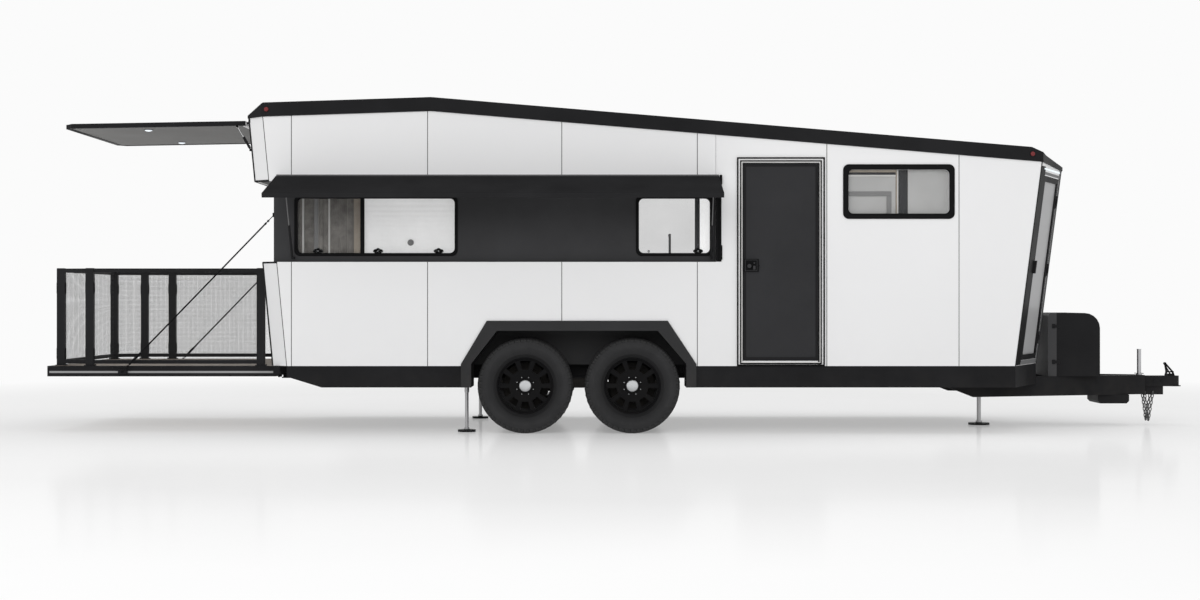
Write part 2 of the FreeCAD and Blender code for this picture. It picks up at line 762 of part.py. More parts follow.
def make_side_wall(side):
    """Composite panels of one side, parted at their joints, with openings cut."""
    name = f"side_wall_{side_name(side)}"
    low_y, high_y = span_y(side, HALF - S.wall_thick, HALF)
    front_window = (
        (S.front_window_x + S.window_frame, S.front_window_low_z + S.window_frame),
        (
            S.front_window_x + S.front_window_length - S.window_frame,
            S.front_window_high_z - S.window_frame,
        ),
        S.window_radius,
    )
    low_wall = prism(f"{name}_low", "XZ", low_y, high_y, wall_outline(side), panes=[front_window])
    top_outline = [
        (side_rear_x(S.band_high_z), S.band_high_z),
        (S.band_front_x - S.seam_gap, S.band_high_z),
        (S.band_front_x - S.seam_gap, eave_z(S.band_front_x - S.seam_gap)),
        (S.peak_x, S.peak_z),
        side_rear_top(),
    ]
    top_wall = prism(f"{name}_top", "XZ", low_y, high_y, top_outline)
    run = S.seam_front_x - S.seam_rear_x
    seams = []
    for share in SEAM_SHARES:
        seam_x = S.seam_rear_x + run * share
        low = (seam_x - S.seam_gap / 2, low_y - S.overrun, S.wall_foot_z - S.overrun)
        high = (seam_x + S.seam_gap / 2, high_y + S.overrun, S.peak_z + S.overrun)
        seams.append(box(f"{name}_seam_{len(seams) + 1}", low, high))
    panels = grouped(f"{name}_panels", [low_wall, top_wall])
    keep(cut(name, panels, seams))


def corner_plan(base_x, forward, length, depth, level_shift):
    """Plan outline of an end wall with its two corner facets.

    forward is 1 at the front and -1 at the rear; base_x is the outer face at the wall foot.
    """
    outer = base_x + level_shift
    inner = outer - S.wall_thick * forward
    edge = outer - length * forward
    flat = HALF - depth
    lining = S.wall_thick * CORNER_LINING_SHARE
    return [
        (edge, -HALF),
        (outer, -flat),
        (outer, flat),
        (edge, HALF),
        (edge, HALF - lining),
        (inner, flat - lining / 2),
        (inner, -flat + lining / 2),
        (edge, -HALF + lining),
    ]


def end_wall(label, forward, low_z, high_z):
    """A leaning end wall between two heights."""
    if forward == 1:
        lean, base, length, depth = (
            FRONT_LEAN,
            S.front_foot_x,
            S.front_corner_length,
            S.front_corner_depth,
        )
    else:
        lean, base, length, depth = (
            REAR_LEAN,
            S.rear_foot_x,
            S.rear_corner_length,
            S.rear_corner_depth,
        )
    shift = lean * (low_z - S.wall_foot_z)
    corners = corner_plan(base, forward, length, depth, shift)
    return prism(label, "XY", low_z, high_z, corners, way=(lean.value, 0, 1))


def above_eaves(label):
    """Everything above the eaves, to trim the end walls."""
    high = S.peak_z + S.front_corner_depth
    reach = S.front_corner_depth
    corners = [
        (S.rear_eave_x - reach, S.rear_eave_z - ROOF_RISE * reach),
        (S.peak_x, S.peak_z),
        (S.front_eave_x + reach, S.front_eave_z - ROOF_FALL * reach),
        (S.front_eave_x + reach, high),
        (S.rear_eave_x - reach, high),
    ]
    return prism(label, "XZ", -HALF - reach, HALF + reach, corners)


def make_rear_wall():
    """Rear wall below and above the band, open at the doorway."""
    low = end_wall("rear_wall_low", -1, S.wall_foot_z, S.band_low_z)
    high_top = S.rear_eave_z + S.overrun
    high = end_wall("rear_wall_high", -1, S.band_high_z, high_top)
    reach = S.rear_corner_length * 3
    doorway = box(
        "rear_wall_doorway",
        (S.rear_foot_x - reach, -S.doorway_half, S.wall_foot_z - S.overrun),
        (S.rear_foot_x + reach, S.doorway_half, S.doorway_top_z),
    )
    walls = grouped("rear_wall_parts", [low, high])
    keep(cut("rear_wall", walls, [doorway, above_eaves("rear_wall_trim")]))


def facet_strip(side, start, end, outer, inner, z):
    """Plan strip of the front corner facet.

    start and end run along the facet from the side wall, outer and inner are depths
    behind its outer face.
    """
    long = S.front_corner_length
    deep = S.front_corner_depth
    whole = root_of(long * long + deep * deep)
    ahead, across = long / whole, deep / whole
    origin_x = side_front_x(z)

    def corner(run, depth):
        x = origin_x + ahead * run - across * depth
        y = -HALF + across * run + ahead * depth
        return (x, y if side == NEAR else -y)

    corners = [corner(start, outer), corner(end, outer), corner(end, inner), corner(start, inner)]
    return corners if side == NEAR else corners[::-1]


def facet_prism(label, side, run, depth, levels):
    """A leaning block in the front corner facet."""
    strip = facet_strip(side, run[0], run[1], depth[0], depth[1], levels[0])
    return prism(label, "XY", levels[0], levels[1], strip, way=(FRONT_LEAN.value, 0, 1))


def make_front_wall():
    """Front face and corner facets in one shell, open at the two corner doors."""
    wall = end_wall("front_wall_shell", 1, S.wall_foot_z, S.front_eave_z + S.front_corner_length)
    tools = [above_eaves("front_wall_trim")]
    for side in (NEAR, FAR):
        name = f"front_wall_doorway_{side_name(side)}"
        run = (S.corner_door_start, S.corner_door_start + S.corner_door_width)
        depth = (-S.overrun, S.wall_thick + S.overrun)
        levels = (S.corner_door_low_z, S.corner_door_high_z)
        tools.append(facet_prism(name, side, run, depth, levels))
    return cut("front_wall_cut", wall, tools)


def make_corner_doors(front_wall):
    """Two leaning doors in the front corners, hinged at their front edges."""
    fixed = front_wall
    gap = S.leaf_gap
    start = S.corner_door_start + gap
    end = S.corner_door_start + S.corner_door_width - gap
    low = S.corner_door_low_z + gap
    high = S.corner_door_high_z - gap
    rail = S.corner_door_rail
    for side in (NEAR, FAR):
        name = f"corner_door_{side_name(side)}"
        leaf = facet_prism(f"{name}_slab", side, (start, end), (size(0), S.leaf_thick), (low, high))
        clear = facet_prism(
            f"{name}_clear",
            side,
            (start + rail, end - rail),
            (-S.overrun, S.leaf_thick + S.overrun),
            (low + rail, high - rail),
        )
        frame = cut(f"{name}_frame", leaf, [clear])
        pane_depth = (S.leaf_thick - S.glass_thick) / 2
        pane = facet_prism(
            f"corner_glass_{side_name(side)}",
            side,
            (start + rail, end - rail),
            (pane_depth, pane_depth + S.glass_thick),
            (low + rail, high - rail),
        )
        keep(pane)
        latch_low = low + (high - low) * LATCH_SHARE
        latch = facet_prism(
            f"{name}_latch",
            side,
            (start + rail * LATCH_INSET_SHARE, start + rail * (1 - LATCH_INSET_SHARE)),
            (-S.latch_proud, S.leaf_thick / 2),
            (latch_low, latch_low + S.latch_height),
        )
        knuckles = []
        for number, share in enumerate(KNUCKLE_SHARES, start=1):
            z = low + (high - low) * share
            place = facet_strip(side, end + gap / 2, end + gap, -S.pin_proud, size(0), z)
            corner = place[0] if side == NEAR else place[-1]
            where = (corner[0], corner[1], z)
            knuckles.append(hinge(f"{name}_hinge_{number}", where, (FRONT_LEAN, size(0), size(1))))
        latched = joined(f"{name}_latched", [frame, latch])
        last = side == FAR
        fixed_label = "front_wall" if last else "front_wall_hung"
        fixed, door = hang(fixed_label, fixed, name, latched, knuckles)
        keep(door)
    keep(fixed)


def make_roof():
    """Roof cap with sloped ends, hollow underneath."""
    rear = S.rear_eave_x - S.roof_overhang
    front = S.front_eave_x + S.roof_overhang
    rear_low = S.rear_eave_z - ROOF_RISE * S.roof_overhang
    front_low = S.front_eave_z - ROOF_FALL * S.roof_overhang
    bend_x = front - S.nose_slope_length
    bend_z = S.front_eave_z + S.nose_slope_rise
    ridge_x = front - S.nose_bevel_length
    top_rear_x = rear + S.rear_bevel_length
    top_rear_z = S.rear_eave_z + ROOF_RISE * S.rear_bevel_length + S.roof_thick
    outline = [
        (rear, rear_low),
        (S.peak_x, S.peak_z),
        (front, front_low),
        (front, front_low + S.nose_lip),
        (bend_x, bend_z),
        (ridge_x, eave_z(ridge_x) + S.roof_thick),
        (S.peak_x, S.peak_z + S.roof_thick),
        (top_rear_x, top_rear_z),
        (rear, rear_low + S.rear_lip),
    ]
    wide = HALF + S.roof_overhang
    slab = prism("roof_slab", "XZ", -wide, wide, outline)
    tools = []
    low_z = S.front_eave_z - S.overrun * 3
    high_z = S.peak_z + S.roof_thick + S.overrun
    corners = (
        (rear, 1, S.rear_corner_length, S.rear_corner_depth),
        (front, -1, S.front_corner_length, S.front_corner_depth),
    )
    for side in (NEAR, FAR):
        for end_x, inward, long, deep in corners:
            wedge = [
                (end_x, (wide - deep) * side),
                (end_x + long * inward, wide * side),
                (end_x + long * inward, (wide + S.overrun) * side),
                (end_x - S.overrun * inward, (wide + S.overrun) * side),
                (end_x - S.overrun * inward, (wide - deep) * side),
            ]
            label = f"roof_corner_{len(tools) + 1}"
            tools.append(prism(label, "XY", low_z, high_z, wedge))
    hollow = S.roof_thick - S.roof_skin
    rim = S.wall_thick + S.roof_rim
    from_rear = S.rear_eave_x + S.rear_corner_length + rim
    to_front = S.front_eave_x - S.front_corner_length - S.front_corner_depth / 2
    cavity = [
        (from_rear, S.rear_eave_z - S.overrun),
        (S.peak_x, S.peak_z - S.overrun),
        (to_front, eave_z(to_front) - S.overrun),
        (to_front, eave_z(to_front) + hollow),
        (S.peak_x, S.peak_z + hollow),
        (from_rear, S.rear_eave_z + hollow),
    ]
    tools.append(prism("roof_cavity", "XZ", -HALF + rim, HALF - rim, cavity))
    keep(cut("roof_cap", slab, tools))


# Recessed window band

def band_face(side):
    """Y of the band's outer and inner face on one side."""
    outer = HALF - S.band_recess
    return outer, outer - S.wall_thick


def window_pane(x, length, inset):
    """Opening of a band window, inset from its frame's outer edge."""
    low = (x + inset, S.window_low_z + inset)
    high = (x + length - inset, S.window_high_z - inset)
    return low, high, S.window_radius


def band_windows():
    return (
        ("long", S.long_window_x, S.long_window_length),
        ("short", S.short_window_x, S.short_window_length),
    )


def make_band_side(side):
    """Recessed wall of the band, with the ledges and the end that close it to the side wall."""
    name = f"band_wall_{side_name(side)}"
    outer, inner = band_face(side)
    lining = HALF - S.wall_thick
    low_y, high_y = span_y(side, inner, outer)
    panes = [window_pane(x, long, S.band_frame) for _, x, long in band_windows()]
    start_x = S.band_rear_x
    end_x = S.band_front_x + S.wall_thick
    face = [
        (start_x, S.band_low_z - S.wall_thick),
        (end_x, S.band_low_z - S.wall_thick),
        (end_x, S.band_high_z + S.wall_thick),
        (start_x, S.band_high_z + S.wall_thick),
    ]
    wall = prism(f"{name}_face", "XZ", low_y, high_y, face, panes=panes)
    ledge_y = span_y(side, outer, lining)
    sill_low = S.band_low_z - S.wall_thick
    sill = [
        (start_x + S.seam_gap, outer),
        (end_x, outer),
        (end_x, lining),
        (side_rear_x(sill_low), lining),
    ]
    ledges = [
        prism(f"{name}_sill", "XY", sill_low, S.band_low_z, both_sides(sill, side)),
        box(
            f"{name}_soffit",
            (start_x, ledge_y[0], S.band_high_z),
            (end_x, ledge_y[1], S.band_high_z + S.wall_thick),
        ),
        box(
            f"{name}_end",
            (S.band_front_x, ledge_y[0], S.band_low_z),
            (end_x, ledge_y[1], S.band_high_z),
        ),
    ]
    gather("band_walls", [joined(name, [wall] + ledges)])


def make_band_rear():
    """Upright rear wall of the band, round the head of the doorway."""
    outer, inner = band_face(FAR)
    thick = S.wall_thick
    low = S.band_low_z - thick
    high = S.band_high_z + thick
    outline = [
        (-inner, low),
        (-S.doorway_half, low),
        (-S.doorway_half, S.doorway_top_z),
        (S.doorway_half, S.doorway_top_z),
        (S.doorway_half, low),
        (inner, low),
        (inner, high),
        (-inner, high),
    ]
    front_x_face = S.band_rear_x + thick
    wall = prism("band_rear_face", "YZ", S.band_rear_x, front_x_face, outline)
    flat = HALF - S.rear_corner_depth
    parts = [wall]
    for side in (NEAR, FAR):
        lip_x = rear_x(low) + thick
        corners = [
            (lip_x, S.doorway_half),
            (S.band_rear_x, S.doorway_half),
            (S.band_rear_x, inner),
            (lip_x, flat - thick / 2),
        ]
        label = f"band_rear_sill_{side_name(side)}"
        parts.append(prism(label, "XY", low, S.band_low_z, both_sides(corners, side)))
    soffit_x = rear_x(S.band_high_z) + thick
    soffit = [
        (soffit_x, -flat + thick / 2),
        (S.band_rear_x, -inner),
        (S.band_rear_x, inner),
        (soffit_x, flat - thick / 2),
    ]
    parts.append(prism("band_rear_soffit", "XY", S.band_high_z, high, soffit))
    gather("band_walls", [joined("band_wall_rear", parts)])


def window_ring(label, inset, low, high, low_y, high_y):
    """Frame of a window, in a wall that looks along Y; inset is how wide it is."""
    u0, w0 = low
    u1, w1 = high
    inner = ((u0 + inset, w0 + inset), (u1 - inset, w1 - inset), S.window_radius)
    outer = ((u0, w0), (u1, w1), S.window_radius + S.window_proud)
    return prism(label, "XZ", low_y, high_y, rounded=outer, panes=[inner])


def make_windows(side):
    """Frames on the walls' outer faces and panes within the openings."""
    name = side_name(side)
    rings, panes = [], []
    outer, inner = band_face(side)
    pane_low = inner + (S.wall_thick - S.glass_thick) / 2
    for kind, x, long in band_windows():
        low_y, high_y = span_y(side, outer, outer + S.window_proud)
        corners = ((x, S.window_low_z), (x + long, S.window_high_z))
        rings.append(window_ring(f"{kind}_ring_{name}", S.band_frame, *corners, low_y, high_y))
        low_y, high_y = span_y(side, pane_low, pane_low + S.glass_thick)
        pane = window_pane(x, long, S.band_frame)
        panes.append(prism(f"{kind}_pane_{name}", "XZ", low_y, high_y, rounded=pane))
    bar_x = S.long_window_x + S.mullion_x
    low_y, high_y = span_y(side, outer, outer + S.window_proud)
    bar = box(
        f"long_bar_{name}",
        (bar_x, low_y, S.window_low_z + S.band_frame / 2),
        (bar_x + S.mullion_width, high_y, S.window_high_z - S.band_frame / 2),
    )
    rings[0] = joined(f"long_frame_{name}", [rings[0], bar])
    corners = (
        (S.front_window_x, S.front_window_low_z),
        (S.front_window_x + S.front_window_length, S.front_window_high_z),
    )
    low_y, high_y = span_y(side, HALF, HALF + S.window_proud)
    rings.append(window_ring(f"front_ring_{name}", S.window_frame, *corners, low_y, high_y))
    pane_low = HALF - (S.wall_thick + S.glass_thick) / 2
    low_y, high_y = span_y(side, pane_low, pane_low + S.glass_thick)
    inset = S.window_frame
    pane = (
        (corners[0][0] + inset, corners[0][1] + inset),
        (corners[1][0] - inset, corners[1][1] - inset),
        S.window_radius,
    )
    panes.append(prism(f"front_pane_{name}", "XZ", low_y, high_y, rounded=pane))
    gather("window_frames", rings)
    gather("window_glass", panes)


# Rear doorway: a frame with one fixed and one sliding pane

def make_rear_door():
    """Sliding door in the rear doorway; the near pane slides behind the far one."""
    half = S.doorway_half
    low, high = S.floor_top_z, S.doorway_top_z
    edge = S.door_stile
    frame_x = S.band_rear_x + S.wall_thick + S.leaf_gap / 5
    deep = S.slider_thick * 2 + S.leaf_gap * 3
    ring = [
        (-half - edge, low),
        (half + edge, low),
        (half + edge, high + edge),
        (-half - edge, high + edge),
    ]
    sill = low + edge / 2
    opening = [(-half, sill), (half, sill), (half, high), (-half, high)]
    surround = prism("rear_door_ring", "YZ", frame_x, frame_x + deep, ring, holes=[opening])
    rail = S.slider_rail
    thick = S.slider_thick
    sashes = (
        ("fixed", size(0), half, frame_x + S.leaf_gap, sill, high),
        (
            "slider",
            -half + S.leaf_gap,
            S.slider_overlap,
            frame_x + thick + S.leaf_gap * 2,
            sill + S.runner_gap,
            high - S.leaf_gap,
        ),
    )
    for kind, low_y, high_y, x, foot, head in sashes:
        sash = [(low_y, foot), (high_y, foot), (high_y, head), (low_y, head)]
        light = [
            (low_y + rail, foot + rail),
            (high_y - rail, foot + rail),
            (high_y - rail, head - rail),
            (low_y + rail, head - rail),
        ]
        frame = prism(f"rear_{kind}_sash", "YZ", x, x + thick, sash, holes=[light])
        mid = x + (thick - S.glass_thick) / 2
        pane = prism(f"rear_{kind}_glass", "YZ", mid, mid + S.glass_thick, light)
        if kind == "fixed":
            keep(joined("rear_door_frame", [surround, frame]))
            gather("window_glass", [pane])
        else:
            keep(frame)
            keep(pane)


# Entry door

def make_entry_door():
    """Surround in the near wall and an outward door hinged at its front edge."""
    outer_y = -HALF
    ring = [
        (S.door_rear_x, S.wall_foot_z),
        (S.door_front_x, S.wall_foot_z),
        (S.door_front_x, S.door_top_z),
        (S.door_rear_x, S.door_top_z),
    ]
    jamb = S.door_jamb
    opening = [
        (S.door_rear_x + jamb, S.door_sill_z),
        (S.door_front_x - jamb, S.door_sill_z),
        (S.door_front_x - jamb, S.door_top_z - jamb),
        (S.door_rear_x + jamb, S.door_top_z - jamb),
    ]
    surround = prism(
        "entry_surround_ring",
        "XZ",
        outer_y - S.door_proud,
        outer_y + S.wall_thick,
        ring,
        holes=[opening],
    )
    gap = S.leaf_gap
    low = (S.door_rear_x + jamb + gap, S.door_sill_z + gap)
    high = (S.door_front_x - jamb - gap, S.door_top_z - jamb - gap)
    stile = S.door_stile
    leaf = prism(
        "entry_leaf_slab",
        "XZ",
        outer_y,
        outer_y + S.leaf_thick,
        [low, (high[0], low[1]), high, (low[0], high[1])],
        panes=[((low[0] + stile, low[1] + stile), (high[0] - stile, high[1] - stile), S.panel_radius)],
    )
    face = (
        (low[0] + stile, low[1] + stile),
        (high[0] - stile, high[1] - stile),
        S.panel_radius,
    )
    keep(
        prism(
            "entry_door_panel",
            "XZ",
            outer_y + S.panel_inset,
            outer_y + S.leaf_thick - S.panel_inset,
            rounded=face,
        )
    )
    hinge_x = S.door_front_x - jamb - gap / 2
    knuckles = []
    for number, share in enumerate(KNUCKLE_SHARES, start=1):
        z = low[1] + (high[1] - low[1]) * share
        place = (hinge_x, outer_y - S.pin_proud, z)
        knuckles.append(hinge(f"entry_hinge_{number}", place, (0, 0, 1)))
    fixed, door = hang("entry_surround", surround, "entry_door_leaf", leaf, knuckles)
    keep(fixed)
    keep(door)
    lock_low = (low[0] + S.lock_inset, outer_y - S.lock_proud, S.lock_low_z)
    lock_high = (low[0] + S.lock_inset + S.lock_width, outer_y, S.lock_low_z + S.lock_height)
    plate = box("entry_lock_plate", lock_low, lock_high)
    grip_z = S.lock_low_z + S.lock_height / 2
    grip_x = lock_low[0] + S.lock_width * GRIP_SHARE
    stem = rod(
        "entry_lock_stem",
        S.grip_radius,
        S.grip_reach,
        (grip_x, lock_low[1] - S.grip_reach, grip_z),
        (0, 1, 0),
    )
    grip = rod(
        "entry_lock_grip",
        S.grip_radius,
        S.grip_length,
        (grip_x - S.grip_radius, lock_low[1] - S.grip_reach, grip_z),
        (1, 0, 0),
    )
    keep(joined("entry_door_lock", [plate, stem, grip]))


# Struts: a cylinder on a fixed pin and a rod whose end lies beside a lug on the panel

def strut_points(side_at, place, base, eye):
    """Base pin and rod end of a strut as points of the trailer."""
    return place(base[0], base[1], side_at), place(eye[0], eye[1], side_at)


def make_strut(label, ends, across, sizes):
    """Cylinder and rod between two points; across is the direction of the pins."""
    start, end = ends
    steps = [b - a for a, b in zip(start, end)]
    length = root_of(steps[0] * steps[0] + steps[1] * steps[1] + steps[2] * steps[2])
    unit = [step / length for step in steps]
    way = [part.value for part in unit]

    def along(distance):
        return [base + part * distance for base, part in zip(start, unit)]

    def beside(point, distance):
        return [base + size(part) * distance for base, part in zip(point, across)]

    eye = sizes["eye"]
    thick = sizes["eye_thick"]
    tube = sizes["tube"]
    shaft = sizes["rod"]
    bore = shaft + S.pin_clearance
    cap = tube * STRUT_CAP_SHARE
    neck = S.strut_neck
    lower_eye = rod(f"{label}_eye", eye, thick, beside(start, -thick / 2), across)
    throat = rod(f"{label}_throat", S.pin_radius, neck + cap, along(size(0)), way)
    barrel = rod(f"{label}_barrel", tube, sizes["tube_length"] - neck, along(neck), way)
    solid = joined(f"{label}_body", [lower_eye, throat, barrel])
    hollow = rod(f"{label}_hollow", bore, sizes["tube_length"], along(neck + cap), way)
    pin_bore = rod(
        f"{label}_pin_bore", S.pin_radius + S.pin_clearance, thick * 2, beside(start, -thick), across
    )
    cylinder = cut(f"{label}_cylinder", solid, [hollow, pin_bore])
    rod_start = length - sizes["rod_length"]
    shaft_bar = rod(f"{label}_shaft", shaft, sizes["rod_length"], along(rod_start), way)
    upper_eye = rod(f"{label}_end", eye, thick, beside(end, -thick / 2), across)
    return cylinder, joined(f"{label}_rod", [shaft_bar, upper_eye])


# Side awning

def awning_place(out, up, x):
    """A point by its distance outward from the awning's hinge and its height over it."""
    return (size(x), -HALF - S.awning_pin_out - out, S.awning_hinge_z + up)


def awning_point(reach, over):
    """Plane place on the awning panel: outward from its hinge and square to it."""
    c, s = cos_of(S.awning_drop), sin_of(S.awning_drop)
    return reach * c + over * s, over * c - reach * s


def awning_section(reach_low, reach_high, over_low, over_high):
    corners = []
    for reach, over in (
        (reach_high, over_low),
        (reach_low, over_low),
        (reach_low, over_high),
        (reach_high, over_high),
    ):
        out, up = awning_point(size(reach), size(over))
        x, y, z = awning_place(out, up, 0)
        corners.append((y, z))
    return corners


def make_awning():
    """Visor that folds down over the window band, with its hinge rail and two gas struts."""
    start, end = S.awning_rear_x, S.awning_front_x
    half = S.awning_thick / 2
    rim = S.awning_rim
    root = S.awning_root
    reach = S.awning_reach
    skin = prism(
        "awning_skin", "YZ", start, end, awning_section(root, reach, half - S.awning_skin, half)
    )
    parts = [skin]
    parts.append(
        prism("awning_nose", "YZ", start, end, awning_section(reach - rim, reach, -half, half))
    )
    parts.append(
        prism("awning_heel", "YZ", start, end, awning_section(root, root + rim, -half, half))
    )
    for number, share in enumerate(RIB_SHARES, start=1):
        x = start + (end - start - rim) * share
        parts.append(
            prism(f"awning_rib_{number}", "YZ", x, x + rim, awning_section(root, reach, -half, half))
        )
    rail = box(
        "awning_rail_bar",
        (start, -HALF - S.awning_rail_out, S.awning_hinge_z - S.awning_rail_low),
        (end, -HALF, S.awning_hinge_z + S.awning_rail_high),
    )
    knuckles = []
    run = end - start - S.knuckle_length
    tab = S.knuckle_radius / 2
    for number, share in enumerate(AWNING_KNUCKLE_SHARES, start=1):
        x = start + run * share
        knuckles.append(hinge(f"awning_hinge_{number}", awning_place(0, 0, x), (1, 0, 0)))
        collar = S.knuckle_length * COLLAR_SHARE + S.knuckle_gap
        low_x = x + collar
        high_x = x + S.knuckle_length - collar
        section = awning_section(0, root + rim / 2, -tab, tab)
        parts.append(prism(f"awning_tab_{number}", "YZ", low_x, high_x, section))
    sizes = {
        "eye": S.strut_eye,
        "eye_thick": S.strut_eye_thick,
        "tube": S.awning_tube,
        "rod": S.awning_rod,
        "tube_length": S.awning_tube_length,
        "rod_length": S.awning_rod_length,
    }
    base = (-S.awning_base_in, -S.awning_base_drop)
    eye = awning_point(S.awning_lug_reach, -S.awning_lug_drop)
    cylinders, rods, brackets = [], [], []
    for number, x in enumerate((S.awning_strut_rear_x, S.awning_strut_front_x), start=1):
        ends = strut_points(x, awning_place, base, eye)
        cylinder, shaft = make_strut(f"awning_strut_{number}", ends, (1, 0, 0), sizes)
        cylinders.append(cylinder)
        rods.append(shaft)
        plate_x = x + S.strut_eye_thick / 2 + S.strut_side_gap
        lug = S.strut_eye
        section = awning_section(
            S.awning_lug_reach - lug, S.awning_lug_reach + lug, -S.awning_lug_drop - lug, half
        )
        parts.append(prism(f"awning_lug_{number}", "YZ", plate_x, plate_x + S.lug_thick, section))
        pin_place = awning_place(base[0], base[1], x - S.strut_eye_thick / 2)
        pin_long = S.strut_eye_thick + S.strut_side_gap + S.lug_thick
        pin = rod(f"awning_base_pin_{number}", S.pin_radius, pin_long, pin_place, (1, 0, 0))
        outer_y = awning_place(base[0] + lug, 0, 0)[1]
        plate = box(
            f"awning_base_plate_{number}",
            (plate_x, outer_y, S.awning_hinge_z - S.awning_base_drop - lug),
            (
                plate_x + S.lug_thick,
                -HALF + S.band_recess,
                S.awning_hinge_z - S.awning_base_drop + lug,
            ),
        )
        brackets.append(joined(f"awning_base_{number}", [plate, pin]))
    panel = joined("awning_panel_plain", parts)
    fixed, moving = hang("awning_rail", rail, "awning_panel", panel, knuckles)
    gather("hinge_rails", [fixed])
    keep(moving)
    gather("strut_brackets", brackets)
    keep(grouped("awning_cylinders", cylinders))
    keep(grouped("awning_rods", rods))


# Rear hatch

def hatch_place(out, up, y):
    """A point by its distance behind the hatch's hinge and its height over it."""
    return (S.hatch_hinge_x - out, size(y), S.hatch_hinge_z + up)


def hatch_point(reach, over):
    c, s = cos_of(S.hatch_drop), sin_of(S.hatch_drop)
    return reach * c + over * s, over * c - reach * s


def hatch_section(reach_low, reach_high, over_low, over_high):
    corners = []
    for reach, over in (
        (reach_high, over_low),
        (reach_low, over_low),
        (reach_low, over_high),
        (reach_high, over_high),
    ):
        out, up = hatch_point(size(reach), size(over))
        x, y, z = hatch_place(out, up, 0)
        corners.append((x, z))
    return corners


